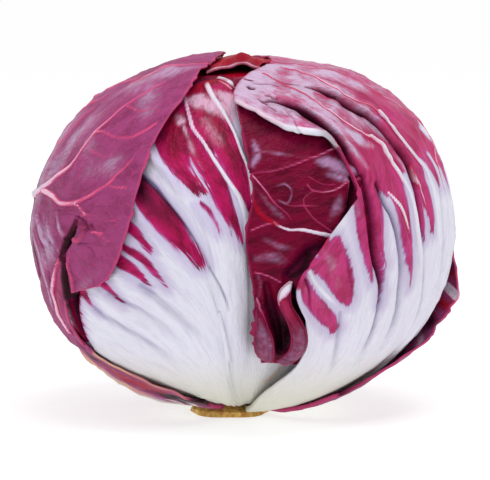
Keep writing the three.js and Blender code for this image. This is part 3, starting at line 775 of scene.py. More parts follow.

# %% The front leaf's folds and grooves with painted shade, some of it deepening the red, and painted sheen
FRONT_DETAILS = [
    stroke([(-30, 20), (-25, 17), (-20.8, 13), (-15.8, 7.6), (-11.2, 1), (-8.6, -4)],
           (0.8, 0.8, 0.7, 0.6, 0.5, 0.3), -0.7, shade=(1, 0.9, 0.8, 0.7, 0.4, 0)),
    stroke([(-30, 17), (-25, 12), (-20, 8), (-16, 3)], (2.2, 3, 3, 2), -0.3, shade=(0.9, 0.5, 0.35, 0)),
    stroke([(-8.8, -4), (-6.4, -8), (-4.4, -13), (-3.6, -16)], (0.25, 0.3, 0.3, 0.2), -0.5,
           shade=(0.4, 0.6, 0.6, 0.2)),
    stroke([(-52, -3), (-54, -9), (-57, -15), (-60, -20.5), (-63, -27), (-65, -33)],
           (2.2, 2.2, 2, 1.7, 1.2, 0.7), -1.6, power=4, shade=(1.1, 1.1, 1.1, 1.1, 1, 0.8)),
    stroke([(-14, -74), (-8, -73), (0, -73.5), (8, -74)], (1.2, 0.8, 1, 1.2), 0,
           tan=(0.4, 0.6, 0.3, 0.6)),
    stroke([(-31, 34), (-26.5, 32), (-22, 28)], (2.6, 2.6, 2), 0, shade=(0.6, 0.35, 0)),
    stroke([(-19, 40), (-18, 42), (-15.5, 42), (-11.5, 39.5), (-8, 36.5), (-4.5, 34), (-2.4, 31)], 0.2,
           -0.2, rib=0.5, shade=0.3),
    stroke([(-16, 27), (-13.5, 22.5), (-12.3, 18)], 0.16, 0.1, rib=0.6),
    stroke([(-21, 37), (-17, 31), (-14, 26), (-11, 22)], (0.4, 0.7, 0.8, 0.4), 0.15,
           bloom=(0.5, 0.6, 0.4, 0.2)),
    stroke([(-36, -7), (-28, -12), (-21.5, -16.5), (-14.5, -24), (-6, -38)], (1.4, 1.8, 2.2, 2.6, 3),
           (0.7, 1.1, 1, 0.5)),
    stroke([(-44, -14), (-34.5, -19.5), (-25.5, -24.5), (-15, -36)], (1.3, 1.8, 2.2, 3),
           (0.7, 1.1, 0.9, 0.3)),
    stroke([(-55, -23), (-42.5, -28.5), (-30, -35.5), (-17.5, -50)], (1.3, 1.8, 2.4, 3),
           (0.5, 0.9, 0.7, 0.3)),
    stroke([(-28.5, -9.5), (-23, -13.5), (-16.5, -20), (-10, -28)], (0.9, 1.2, 1.4, 1.6),
           (-0.5, -0.7, -0.5, 0), shade=(0.4, 0.35, 0.3, 0)),
    stroke([(-40, -12.5), (-31, -16.5), (-24, -21), (-16, -30)], (0.8, 1.1, 1.4, 1.6),
           (-0.5, -0.6, -0.4, 0), shade=(0.5, 0.35, 0.25, 0)),
    stroke([(-48, -18), (-39, -23), (-30, -29), (-20, -40)], (0.9, 1.3, 1.6, 1.8), (-0.5, -0.6, -0.4, 0),
           shade=(0.5, 0.45, 0.3, 0)),
    stroke([(-10.5, 6), (-8.5, 0), (-7.6, -6)], (0.5, 0.6, 0.4), -0.3, shade=(0.1, 0.2, 0)),
    stroke([(-22, 46), (-17, 45), (-11, 44.5), (-6.5, 42.5), (-3, 38)], (1.8, 2.8, 3, 2.6, 1.6), 0,
           bloom=(0.5, 0.9, 1.1, 0.9, 0.5)),
    stroke([(-21.5, 47), (-17.5, 47.5), (-14, 44), (-10.5, 40.5)], (1.6, 2, 1.8, 1), 0,
           bloom=(0.8, 1, 0.9, 0.4)),
    stroke([(-12, 51), (-7.5, 49), (-4, 46), (-1.5, 41.5)], (1.4, 2.2, 2, 1.2), 0,
           bloom=(1, 1.5, 1.4, 0.8)),
    stroke([(-24, 48), (-22, 52), (-19, 55.5), (-15, 58), (-9, 58.5)], (0.8, 1.4, 1.6, 1.4, 1), 0,
           flush=(0.6, 0.9, 1, 0.8, 0.4)),
    stroke([(-23.5, 39.5), (-21.5, 37)], (1.5, 1.2), 0, bloom=0.8),
    stroke([(-13, 38), (-9, 33), (-5, 28)], (2, 2, 1.4), 0, bloom=(0.4, 0.4, 0.2)),
    stroke([(12, -50), (16, -46), (18.5, -40)], (1.2, 0.8, 0.5), 0, tan=(0.5, 0.5, 0.3)),
    stroke([(-12.5, 58), (-8, 55.5), (-5, 53)], (0.3, 0.5, 0.3), 0, rib=0.9),
    stroke([(-26, 50), (-24, 56), (-18, 61)], (1, 1.2, 1), 0, shade=0.7),
    stroke([(-26, 61), (-14, 65), (-3, 66.5), (10, 66.5)], 3.2, 0, power=4, flush=1, shade=0.42),
]
print("details:", len(FRONT_DETAILS))

# %% Shape the front leaf
FRONT_LEVEL = -1.4  # mm over the head's outline
FRONT_PLEATS, PLEAT_HEIGHT = 13, 0.13


def front_leaf():
    sheet = Sheet(FRONT_NET, FRONT_LEVEL, np.linspace(0, 1, 206), np.linspace(0, 1, 226))
    sheet.add(FRONT_STAINS)
    pleats = np.cos(2 * np.pi * (FRONT_PLEATS * sheet.u + 0.1 * noise(sheet.grain, 9.0)))
    left_half = 1 - ease((sheet.u - 0.55) / 0.1)
    sheet.lift += PLEAT_HEIGHT * pleats * ease(sheet.u / 0.1) * left_half * (1 - 0.7 * sheet.v)
    sheet.add(FRONT_RIBS + FRONT_DETAILS)
    crumple(sheet, 0.12, 5.0)
    blade = blade_object("leaf_front", sheet, sheet.points(), base_thickness(sheet, 1.3), white_leaf)
    leaf_object("leaf_front", "white_based_leaf", blade)


front_leaf()

# %% [markdown]
# ## The middle leaf
# Dark crimson, wrapped in from the right. Low on the left its margin doubles into two lobes round
# a deep hollow: the left one folds over and is toothed, the right one starts in a white curl. The
# lobes can't be strokes, because a leaf that doubles back lies over itself, so each is a blade of
# its own that is joined to the leaf.

# %% The middle leaf's net
MIDDLE_NET = [
    [(70, -75), (62, -58), (50, -46), (38, -41), (28, -38.5), (19, -37), (7, -35.5, 0.6)],
    [(78, -75), (72, -48), (58, -30), (42, -22), (30, -20), (17, -21), (4.5, -21, 0.6)],
    [(86, -75), (80, -42), (66, -16), (48, -7), (34, -7), (18, -8), (2.6, -7, 0.5)],
    [(92, -75), (86, -38), (72, -8), (54, 3), (36, 4), (20, 5), (1, 4, 0.5)],
    [(98, -75), (92, -34), (78, 0), (60, 12), (38, 15), (20, 14), (3, 15, 0.5)],
    [(104, -75), (98, -30), (84, 6), (66, 20), (44, 27), (20, 25), (2, 24, 0.4)],
    [(112, -75), (108, -24), (94, 14), (78, 34), (54, 42), (26, 42), (-1, 39, 0.3)],
    [(122, -75), (120, -20), (108, 20), (96, 44), (78, 58), (38, 64), (-4, 56, 0.1)],
]
print("columns in the middle leaf's net:", len(MIDDLE_NET))

# %% The middle leaf's painted sheen and its veins
MIDDLE_SHEENS = [
    stroke([(23, 24.5), (27.5, 23.5), (31, 21.5), (33.5, 21)], (1.6, 2.2, 2.3, 1.2), 0.4,
           bloom=(0.5, 0.9, 1.1, 0.9)),
    stroke([(25, 20.5), (29, 19.5), (32, 18.5)], (1, 1.3, 1), 0, bloom=(0.3, 0.7, 0.7)),
    stroke([(5, 27.5), (10, 26.8), (15, 26), (19, 25.2)], (0.6, 0.8, 0.7, 0.4), 0.2,
           bloom=(0.3, 0.5, 0.45, 0.2)),
    stroke([(3, 23), (4.5, 26), (4, 30)], (0.9, 1.2, 1.2), 0, bloom=(0.5, 0.6, 0.5)),
    stroke([(9.5, 17.5), (12, 18.2), (13.8, 16), (12.5, 13), (10, 13.8)], 0.3, 0.15,
           bloom=(0.2, 0.5, 0.3, 0.5, 0.3)),
    stroke([(3.6, 17.5), (6, 14.5), (9, 10.8), (12, 8.8)], (0.4, 0.8, 1.1, 0.8), 0.2,
           bloom=(0.2, 0.4, 0.45, 0.2)),
    stroke([(28, 14), (26.5, 11), (24.5, 8.5)], (1.3, 1.6, 1.2), 0, bloom=(0.3, 0.45, 0.3)),
    stroke([(4, -1.5), (7.5, -1), (11.5, -2.2)], (1.2, 1.6, 1.4), 0.2, bloom=(0.35, 0.4, 0.25)),
    stroke([(6, 3.6), (10, 1.8), (14, 1)], (0.9, 1.1, 0.8), 0.2, bloom=(0.25, 0.4, 0.2)),
    stroke([(4.4, -6), (5.2, -9), (4.6, -12)], (0.6, 0.7, 0.6), 0, bloom=0.4),
]
MIDDLE_VEINS = [
    stroke([(2, 21), (7, 21.5), (10, 22), (13.5, 23), (17, 24), (20, 25), (23, 25.8), (28, 27.5),
            (36, 30)], (0.15, 0.18, 0.2, 0.25, 0.3, 0.32, 0.35, 0.4), (0.2, 0.3, 0.4, 0.4),
           rib=(0.5, 0.7, 0.85, 1)),
    stroke([(34, 2.5), (29, 3.5), (25, 4), (20.5, 5), (16, 6), (13, 6), (10, 7), (8.6, 8)],
           (0.6, 0.6, 0.5, 0.45, 0.38, 0.3, 0.25), (0.7, 0.6, 0.4), power=3,
           white=(1, 1, 1, 1, 1, 0.9, 0.5)),
    stroke([(9.5, 7.4), (7, 8.8), (4.5, 11), (3, 14)], (0.5, 0.6, 0.7, 0.5), 0.3,
           flush=(0.9, 1, 0.9, 0.5)),
    stroke([(8.6, 8), (6, 7.4), (2.5, 6)], 0.15, 0.1, rib=0.8),
    stroke([(3.5, -5.2), (7, -6.2), (10.5, -8)], (0.2, 0.24), 0.2, rib=0.8),
    stroke([(36, 19), (31, 18.2), (27.5, 16.5), (24, 15.8), (20, 16.3), (18.4, 17.8)],
           (0.25, 0.25, 0.2, 0.15), 0.2, rib=(0.8, 0.9, 0.6)),
    stroke([(20, 16), (17.5, 14.6), (17, 12.5), (19.5, 9), (23, 6.5), (26, 4.4)], (0.2, 0.18, 0.14), 0.15,
           rib=0.55),
    stroke([(3, 20.5), (6.5, 16.5), (9, 13), (12, 10.5), (13.5, 8.5)], (0.15, 0.2, 0.15), 0.2,
           rib=(0.9, 0.7, 0.4)),
    stroke([(9, 13.6), (13, 12.4), (17, 12.3), (22, 12)], 0.13, 0.1, rib=(0.2, 0.5, 0.6, 0.3)),
    stroke([(19, 20), (23, 18), (27, 17.6)], 0.12, 0.1, rib=0.45),
    stroke([(9, 1.5), (12, -2), (14.5, -3.5)], 0.12, 0.1, rib=0.4),
]
print("veins:", len(MIDDLE_VEINS))

# %% The middle leaf's folds, with painted shade in them
MIDDLE_FOLDS = [
    stroke([(32.8, 19), (32.2, 15), (30.8, 11), (28.6, 7.5)], (0.9, 1.2, 1.1, 0.8), -3, power=4, shade=1),
    stroke([(31.3, 18.6), (30.8, 14.5), (29.4, 10.6), (27.6, 7.6)], 0.18, 0.3, rib=(0.6, 0.8, 0.7)),
    stroke([(24, 1.5), (19, 0.2), (15.5, -3), (12.5, -6)], (1.6, 2, 1.6, 1.2), (-0.8, -1.4, -1.6, -1.2),
           shade=0.8),
    stroke([(19, -1), (17, -5), (14, -7)], (1.6, 1.6, 1.2), -1.2, shade=1),
    stroke([(6.8, -9), (7.8, -13), (8.9, -18), (10.6, -23), (12, -27.5), (12.6, -31)],
           (1, 1.2, 1.4, 1.3, 1, 0.7), -2, power=4, shade=(0.4, 0.6, 0.8, 1, 1, 1)),
    stroke([(7.4, -9), (8.2, -13), (8.4, -17), (8.2, -20)], (0.8, 0.8, 0.6, 0.3), 0,
           flush=(0.2, 0.7, 0.6, 0.2)),
    stroke([(13.8, -9.4), (15.2, -12.5), (17, -16), (18.6, -19.6), (19.6, -23)],
           (0.7, 1.3, 1.5, 1.3, 0.6), -3, power=4, shade=1),
    stroke([(14.6, -12), (17.6, -13.6)], 0.3, 1, rib=0.45),
    stroke([(15.6, -15), (18.6, -16.6)], 0.3, 1, rib=0.35),
    stroke([(8, -14), (10.4, -18.5), (13.4, -25), (13, -30)], (1.6, 2.2, 2.6, 2), -1, power=3,
           shade=(0.3, 0.8, 1.2, 1.2)),
    stroke([(13, -10), (16, -14), (18.4, -20)], (1, 1.6, 1.2), -1.6, power=3, shade=1),
    stroke([(14, -10.8), (17.4, -12.6)], 0.3, 0.9, rib=0.5),
    stroke([(15.2, -13), (18.2, -14.8)], 0.3, 0.9, rib=0.45),
    stroke([(16.4, -16), (18.6, -17.6)], 0.3, 0.9, rib=0.4),
]
print("folds:", len(MIDDLE_FOLDS))

# %% The two lobes
LEFT_LOBE_NET = [
    [(4.2, -12, 0), (4.2, -16, 0.6), (4, -20, 1.2), (3.8, -24.5, 1.6), (4.2, -28, 1.8), (5.4, -31, 1.6)],
    [(4.8, -12, 0.4), (5.2, -16, 1.4), (5.8, -20, 2.2), (6.4, -24, 2.8), (7.2, -28, 3), (8, -32, 2.4)],
    [(5.4, -12, 0), (6.6, -16, 0.8), (8, -20, 1.4), (9.8, -23.5, 2), (10.8, -28, 2.2),
     (11.2, -32.6, 1.8)],
]
# On the lobes the pale strokes are wax and painted sheen, and the dark ones painted shade.
LEFT_LOBE_PAINT = [
    stroke([(4.6, -17), (5.6, -21), (7, -25.5), (7.8, -31)], (0.6, 1.4, 2.2, 2.4),
           bloom=(0.3, 0.5, 0.6, 0.5)),
    stroke([(5.6, -12.5), (6.6, -16), (8.2, -19.6), (9.8, -22.8), (10.8, -27)], 0.3, 0.2,
           rib=(0.9, 0.6, 0.5, 0.3, 0.2)),
    stroke([(5, -13), (5.8, -16.5), (7, -20)], (0.5, 0.7, 0.4), flush=(0.3, 0.3, 0.1)),
    stroke([(4.8, -15), (4.8, -18), (5.2, -20.4)], 0.4, -0.5, shade=(0.8, 0.8, 0.2)),
    stroke([(6.6, -21), (7.6, -26), (8.4, -31)], 0.35, -0.5, shade=(0.1, 0.4, 0.3)),
]
RIGHT_LOBE_NET = [
    [(12, -7.6, 0.6), (9.6, -9.6, 1), (9.4, -13, 1.4), (11.8, -17.5, 2), (13.6, -23, 2.4),
     (13.4, -27.5, 2.4), (10.4, -31.4, 2)],
    [(12.6, -7.6, 1.2), (11.4, -10.6, 2.4), (11.6, -13.6, 3), (14.2, -18, 3.8), (16.4, -23, 4.2),
     (16.6, -28.5, 4), (14.2, -33.6, 2.6)],
    [(13.2, -7.6, 0.8), (12.8, -10.8, 1.4), (13.4, -14.2, 1.8), (16.4, -18.6, 2.4), (18.8, -23.2, 2.8),
     (19.3, -28, 2.8), (17.8, -32.6, 2)],
]
RIGHT_LOBE_PAINT = [
    stroke([(12.6, -7.6), (10.8, -9.2), (10, -11), (9.8, -13)], (1.4, 1.4, 1.1, 0.4),
           white=(1.6, 1.6, 1.5, 0.8)),
    stroke([(11, -12.6), (12, -15), (14.4, -18.6), (16, -22)], (1, 1.2, 1.2, 0.8),
           flush=(0.3, 0.2, 0.1, 0), rib=(0.5, 0.45, 0.3, 0)),
    stroke([(13.6, -18), (16, -22), (16.6, -27.5), (13.6, -32.6)], (1, 2, 2.6, 3),
           bloom=(0.2, 0.5, 0.5, 0.4)),
    stroke([(13, -14.6), (15.6, -18.4), (17.6, -22.6), (18, -27)], 0.3, -0.4, shade=(0.2, 0.5, 0.5, 0.2)),
    stroke([(11, -29), (13, -31), (16, -31.4)], 0.6, -0.3, shade=0.5),
]

LOBE_ROWS, LOBE_COLUMNS = 81, 57
LOBE_LEVEL = -1.4  # mm over the outline
LOBE_ROLL, LOBE_TURN = 1.5, -150.0  # mm of margin rolled under, and degrees that it turns
ALL_RED = 6  # mm inside the magenta


def lobe(name, net, paint, toothed, rolled):
    """A small fold of the margin: its first column toothed or plain, and one side rolled under."""
    rows, columns = np.linspace(0, 1, LOBE_ROWS), np.linspace(0, 1, LOBE_COLUMNS)
    sheet = Sheet(net, LOBE_LEVEL, columns, rows, tail_rows=0)
    sheet.stain[:] = ALL_RED
    sheet.add(paint)
    points = sheet.points()
    if toothed:
        points = teeth(points, 0, 1.5, 1.5)
    points = roll_margin(points, rolled, np.full(LOBE_ROWS, LOBE_ROLL), LOBE_TURN)
    points = tip_teeth(points, 0.6, 1.6)
    return blade_object(name, sheet, points, np.full(sheet.shape, BLADE), crimson_leaf)


print("strokes on the lobes:", len(LEFT_LOBE_PAINT + RIGHT_LOBE_PAINT))

# %% Shape the middle leaf
MIDDLE_LEVEL = -1.6  # mm over the outline
CLOSER_ROWS = 1.7  # the rows lie closer to each other near the tip, where the folds are
MIDDLE_CRUMPLE, CRUMPLE_SIZE = 0.55, 7.0  # mm


def middle_leaf():
    up = 1 - (1 - np.linspace(0, 1, 181)) ** CLOSER_ROWS
    sheet = Sheet(MIDDLE_NET, MIDDLE_LEVEL, np.linspace(0, 1, 181), up)
    sheet.stain[:] = 3 + 0.25 * (sheet.from_base - 30)
    sheet.add(MIDDLE_SHEENS + MIDDLE_VEINS)
    crumple(sheet, MIDDLE_CRUMPLE, CRUMPLE_SIZE)
    sheet.add(MIDDLE_FOLDS)
    points = tip_teeth(sheet.points(), 0.7, 2.6)
    blade = blade_object("leaf_middle", sheet, points, base_thickness(sheet, 0.8), crimson_leaf)
    left_lobe = lobe("left_lobe", LEFT_LOBE_NET, LEFT_LOBE_PAINT, True, "right")
    right_lobe = lobe("right_lobe", RIGHT_LOBE_NET, RIGHT_LOBE_PAINT, False, "left")
    leaf_object("leaf_middle", "crimson_leaf", blade, left_lobe, right_lobe)


middle_leaf()

# %% [markdown]
# ## The right leaf
# The largest leaf, with a pleated white base on the right. Its tip is folded over the top of the
# head to the left, where its waxy outside is painted pale, as wax and as painted sheen, and the
# fold's edge shows white. The leaf runs on in one net from the base to that tip, so that its ribs
# run on as well, and only the folded edge is rolled in afterwards.

# %% The right leaf's net
RIGHT_NET = [
    [(6, -75), (10, -54), (18.5, -35, 0.6), (19, -22, 0.9), (14.5, -9.5, 0.9), (22, 2.5, 0.5),
     (32.5, 15.5), (25.5, 27), (12, 31), (-2.5, 40)],
    [(15, -75), (18, -55), (24.5, -36), (24.5, -23), (22.5, -10), (29, 3), (38, 19), (32, 32), (16, 39),
     (-3, 46)],
    [(25, -75), (30, -56), (36, -36), (36, -23), (35.5, -10), (40, 4), (42, 20), (37, 35), (22, 46),
     (-1, 51)],
    [(38, -75), (44, -56), (46, -34), (46, -22), (46, -9), (50, 4), (49, 20), (42, 36), (28, 48),
     (5, 57)],
    [(50, -75), (54, -56), (54, -34), (54, -21), (54.5, -8), (57, 5), (56, 22), (49, 38), (36, 52),
     (14, 63)],
    [(62, -75), (64, -56), (62, -34), (62, -21), (62.5, -8), (64, 6), (62, 24), (56, 42), (44, 57),
     (24, 69)],
    [(78, -75), (76, -56, -0.4), (74, -34, -0.8), (74.5, -19, -0.7), (75.5, -6, -0.6), (77, 8, -0.4),
     (75, 28, -0.6), (70, 48, -0.7), (62, 64, -0.3), (42, 76)],
    [(95, -75), (94, -56, -0.4), (94, -34, -1.6), (95.5, -18, -0.9), (98, -2, -0.6), (100, 12, -0.5),
     (104, 34, -0.8), (108, 54, -0.8), (112, 70, -0.4), (110, 83)],
    [(112, -75), (114, -54), (120, -30), (124.5, -15), (129, 0), (136, 16), (146, 38), (158, 56),
     (170, 70), (176, 81)],
]
print("columns in the right leaf's net:", len(RIGHT_NET))

# %% The right leaf's magenta
RIGHT_STAINS = stains([
    ([(21, 2.5), (23, -1), (24.5, -5), (27, -9.5), (29.2, -13.5)], (2.2, 3.2, 3.3, 2.8, 2)),
    ([(25, 2.5), (27, -1.5), (29, -7), (30.3, -12)], (1.6, 1.8, 1.7, 1.4)),
    ([(15.6, -8), (18, -11.5), (21.5, -15.5), (25, -18.8), (28, -22)], (0.9, 2.1, 2.3, 2.2, 1.6)),
    ([(17.5, -3.5), (20.5, -3.5), (23, -6)], (2.4, 2.2, 2)),
    ([(14, -5), (15.6, -7.4), (17.5, -10)], (1.8, 1.8, 1.6)),
    ([(33, 20), (33, 12), (33.3, 5), (34.5, -1.5), (36.5, -8.5)], (3, 2.4, 2.2, 1.7, 0.4)),
    ([(37.5, 20), (38, 12), (38.3, 4), (38.8, -1), (40.6, -4.8)], (3, 2, 1.8, 1.3, 0.3)),
    ([(35.2, 19), (35.3, 12), (35.8, 5), (36.8, 0), (38.6, -5.5), (40, -10.5), (41, -15)],
     (2.4, 2.4, 2, 1.6, 1.1, 0.7, 0.2)),
    ([(41, 22), (41, 17), (42, 14)], (2.6, 2.2, 1)),
    ([(44, 20), (46.5, 12), (47.8, 5), (49, -2), (50.4, -7), (51.3, -11)],
     (4.4, 3.2, 2.7, 2.2, 1.5, 0.3)),
    ([(50, 27), (52.6, 22), (54, 16), (55, 10), (55.6, 5), (56.2, 1)], (2.4, 2, 1.6, 1.3, 1, 0.3)),
    ([(56, 24), (57.5, 14), (59, 8), (59.3, 3)], (4, 3, 2.2, 0.6)),
    ([(40, 24), (50, 27), (60, 29), (69, 28), (75, 24), (78, 18), (79, 13)], (7, 8, 8, 6, 4, 2, 0.5)),
    ([(64, 24), (67, 19), (68.5, 14)], (3, 2, 0.5)),
    ([(0, 48), (30, 45), (50, 45), (66, 40), (74, 36)], (14, 14, 12, 8, 5)),
    ([(0, 60), (30, 64), (60, 62), (90, 74)], (14, 14, 9, 10)),
    ([(20, 28), (32, 26), (40, 30)], (5, 8, 8)),
])
print("magenta strokes:", len(RIGHT_STAINS))

# %% The right leaf's ribs
RIGHT_RIBS = [
    stroke([(10, 55), (13.5, 52.5), (17, 50), (20.5, 47.5), (23.5, 45.5), (26.5, 42.5), (29, 39.5),
            (31.5, 37.5), (35, 34.5), (38, 31.5), (41.5, 29.5), (44.5, 26.5), (46, 23)],
           (0.25, 0.25, 0.3, 0.35, 0.4, 0.45, 0.5), 0.6, rib=(0.65, 0.7, 0.8, 1, 1, 1.1, 1.2)),
    stroke([(41.5, 29.8), (44, 27.6), (45.3, 24.5), (46.8, 21.5), (48.3, 18.5), (50, 15.3), (51.2, 12),
            (52, 8), (52.7, 3), (54, -2), (56, -7), (59, -15.5), (66, -29.5)],
           (0.3, 0.35, 0.45, 0.5, 0.6, 0.8, 1, 1.1, 1.2, 1.4, 1.8, 2, 2.4),
           (0.8, 0.9, 0.9, 0.8, 0.6, 0.3), power=3, white=(0.7, 1, 1.2, 1.2, 1, 1)),
    stroke([(22, 60), (26, 57.5), (31, 55), (34.5, 53), (36.5, 50), (39.5, 46.5), (43.5, 42.5), (48, 40),
            (51.5, 37), (52.5, 34)], (0.2, 0.25, 0.35, 0.4, 0.4), 0.6, rib=(0.5, 0.8, 1, 1.1, 0.8, 0.7)),
    stroke([(51.5, 37), (52.8, 33.5), (54, 30.5), (56, 26.5), (58.8, 22.8), (61, 19.5), (62.2, 16),
            (62.8, 12), (63.5, 0)], (0.25, 0.3, 0.35, 0.4, 0.5, 0.7, 1, 1.3), 0.7, power=3,
           white=(0.6, 1, 1.1, 1.2, 1, 1)),
    stroke([(44, 40.5), (48, 37.5), (50.5, 33.5)], (0.7, 0.9, 0.6), 0, flush=(0.4, 0.6, 0.3)),
    stroke([(61, 45), (66.5, 43), (70.5, 39.5), (72.5, 36)], (0.25, 0.35, 0.3), 0.4, rib=(0.7, 1, 0.8)),
    stroke([(53.8, 21), (54.6, 17), (56, 13.5), (56.8, 10.5), (57.6, 7.5), (58.2, 3.5)],
           (0.3, 0.32, 0.32, 0.3), 0.5, rib=(0.6, 0.9, 0.9, 0.6, 0), power=3),
    stroke([(42.5, 14.2), (45, 12), (47, 9.8), (48.4, 6.5), (49.6, 2)], (0.34, 0.34, 0.32, 0.3), 0.3,
           power=3, white=(0.5, 0.9, 0.9, 0.6, 0)),
    stroke([(41.5, 29.5), (38.5, 22), (38, 18), (41, 15)], (0.15, 0.2, 0.15), 0.2, rib=0.5),
    stroke([(17.5, -4.8), (19.5, -8), (21.8, -10.5), (25, -13.3), (29.5, -16.8)],
           (0.5, 0.5, 0.6, 0.9, 1.3), (0.7, 0.7, 0.5, 0.2, 0), power=3, white=(1, 1, 1, 0.5, 0),
           clear=1.2),
    stroke([(24, -5), (26, -8.5), (27.5, -12)], (0.2, 0.2, 0.15), 0.2, rib=0.6),
    stroke([(17.5, -17), (19, -24), (20, -32), (18, -42), (14, -54)], (0.7, 0.8, 1, 1, 1),
           (0.8, 0.7, 0.4, 0.2), clear=1),
]
print("ribs:", len(RIGHT_RIBS))

# %% The right leaf's deep folds, with painted shade in and beside them
RIGHT_FOLDS = [
    stroke([(7, 41.8), (9.5, 42.3), (13.5, 42), (17, 40.8), (20, 39), (23.5, 36), (26.5, 32.8),
            (29.3, 29), (31.5, 25.5), (33.2, 21), (34.3, 17)],
           (0.3, 0.5, 0.9, 1.1, 1.2, 1.1, 1, 1, 1, 1, 0.9), (-0.6, -1.6, -2.6, -3.2, -3.4, -3.2, -3),
           power=4, shade=(0.5, 1, 1.1, 1.1, 1, 1)),
    stroke([(9.5, 41), (14, 40.8), (18, 39), (22, 35.6), (26, 31.4), (29, 27.4), (31.5, 23)],
           (1, 1.8, 2.2, 2.2, 2, 1.8), 0, power=3, shade=(0.2, 0.36, 0.4, 0.4, 0.36)),
    stroke([(29, 47), (34, 44.2), (38, 40.4), (42.5, 36.2), (46.5, 31), (49.5, 26)],
           (0.8, 1.8, 2, 1.6, 1.4), 0, power=3, shade=(0.2, 0.4, 0.4, 0.36)),
    stroke([(8, 43.6), (13.5, 44), (18.5, 42.3), (22.5, 39), (26, 35.4), (29.5, 31.5), (32, 27)],
           (0.8, 0.9, 1, 1, 1, 1), (0.2, 0.8, 1.1, 1.1, 0.9, 0.6)),
    stroke([(27, 48), (31, 47.2), (34.5, 45.2), (37.5, 42), (41, 38.6), (45, 35.5), (47.5, 31),
            (49.5, 27.5), (52, 23.4), (53.2, 19), (53.9, 15), (54.2, 10), (54.6, 5), (55.5, 0)],
           (0.3, 0.8, 1.2, 1.3, 1, 0.8, 0.8, 0.9, 0.9, 0.8, 0.8, 0.7, 0.6, 0.4),
           (-0.8, -2.6, -3.4, -3.2, -3, -2.6, -1.4), power=4, shade=(0.8, 1.1, 1.1, 1, 1, 1, 0.9, 0.5)),
    stroke([(30, 49.5), (35, 47.5), (39.5, 43.5), (44.5, 38.5), (48.5, 33.5), (51.5, 28), (54.2, 22),
            (55.4, 15)], (0.9, 1, 1, 0.9, 0.8, 0.8, 0.7), (0.3, 1, 1.1, 1, 0.8, 0.5)),
    stroke([(54.6, 3), (57, -8), (61, -18), (67, -31)], (0.5, 0.8, 1, 1.4), (-0.8, -1.1, -0.8, -0.3),
           shade=(0.6, 0.5, 0.35, 0)),
    stroke([(34.6, 19), (35.2, 14), (35.6, 9), (36, 3), (36.6, -2), (38.4, -6), (40, -10.5), (41, -16),
            (42.5, -24), (45, -36)], (0.9, 1, 1, 0.9, 0.7, 0.5, 0.5, 0.6, 0.9, 1.3),
           (-2.6, -3, -2.8, -2.2, -1.6, -1.2, -0.8), power=3, shade=(1.1, 1.1, 1, 0.9, 0.7, 0.5, 0.4, 0)),
    stroke([(39, 17), (40.5, 12), (42.6, 8.6), (44.6, 3.5), (45.8, -1.5), (47, -7), (47.8, -12),
            (50, -19), (53, -31)], (0.4, 0.45, 0.5, 0.55, 0.6, 0.7, 0.8, 1, 1.3),
           (-1.6, -2, -1.8, -1.4, -0.8), shade=(1, 0.9, 0.6, 0.5, 0.4, 0)),
    stroke([(31.6, 15), (32.4, 9), (33, 4), (34.4, -2), (36, -8)], (0.5, 0.8, 0.9, 0.9, 0.8),
           (1, 1.2, 1.1, 0.9, 0.5)),
    stroke([(37.4, 14), (37.8, 8), (38, 2), (39.6, -5), (42.5, -14), (45, -26)],
           (0.7, 0.9, 1, 1.2, 1.6, 2), (0.8, 1.1, 1.1, 1.1, 0.9, 0.4)),
    stroke([(43, 12), (46, 6), (48, 0), (50, -10), (53, -22), (58, -34)], (0.9, 1.1, 1.2, 1.5, 1.8, 2.2),
           (0.5, 0.8, 0.9, 0.9, 0.8, 0.3)),
    stroke([(60, 14), (60.5, 4), (62, -10), (66, -24)], (1.6, 1.8, 2, 2.2), (0.4, 0.8, 0.8, 0.4)),
    stroke([(33, -14), (35, -22), (39, -32), (43, -44)], (1.5, 1.9, 2.2, 2.4), (0.7, 1.1, 0.9, 0.3)),
    stroke([(24, -24), (26, -32), (28, -44)], (1.6, 2, 2.4), (0.7, 0.8, 0.3)),
    stroke([(28.5, -17), (30, -24), (33, -34), (36, -44)], (0.5, 0.8, 1, 1.3), (-0.8, -1, -0.7, -0.2),
           shade=(0.3, 0.35, 0.25, 0)),
    stroke([(28, 1), (29.5, -6), (31.5, -11.5), (33.5, -17)], (0.4, 0.5, 0.6, 0.6),
           (-0.6, -0.8, -0.6, -0.2), shade=(0.2, 0.3, 0.2, 0)),
    stroke([(68.5, 12), (69, 0), (71, -14)], (0.8, 1, 1.2), -0.8, shade=(0.3, 0.3, 0)),
    stroke([(14.5, -8), (15.2, -5.6), (17.6, -3.8)], (0.8, 0.7, 0.5), 0.5, shade=(0.5, 0.3, 0)),
    stroke([(16.6, -6.8), (18, -10), (18.6, -14)], (0.35, 0.4, 0.3), -0.8, shade=(0.7, 0.6, 0.2)),
]
print("folds:", len(RIGHT_FOLDS))
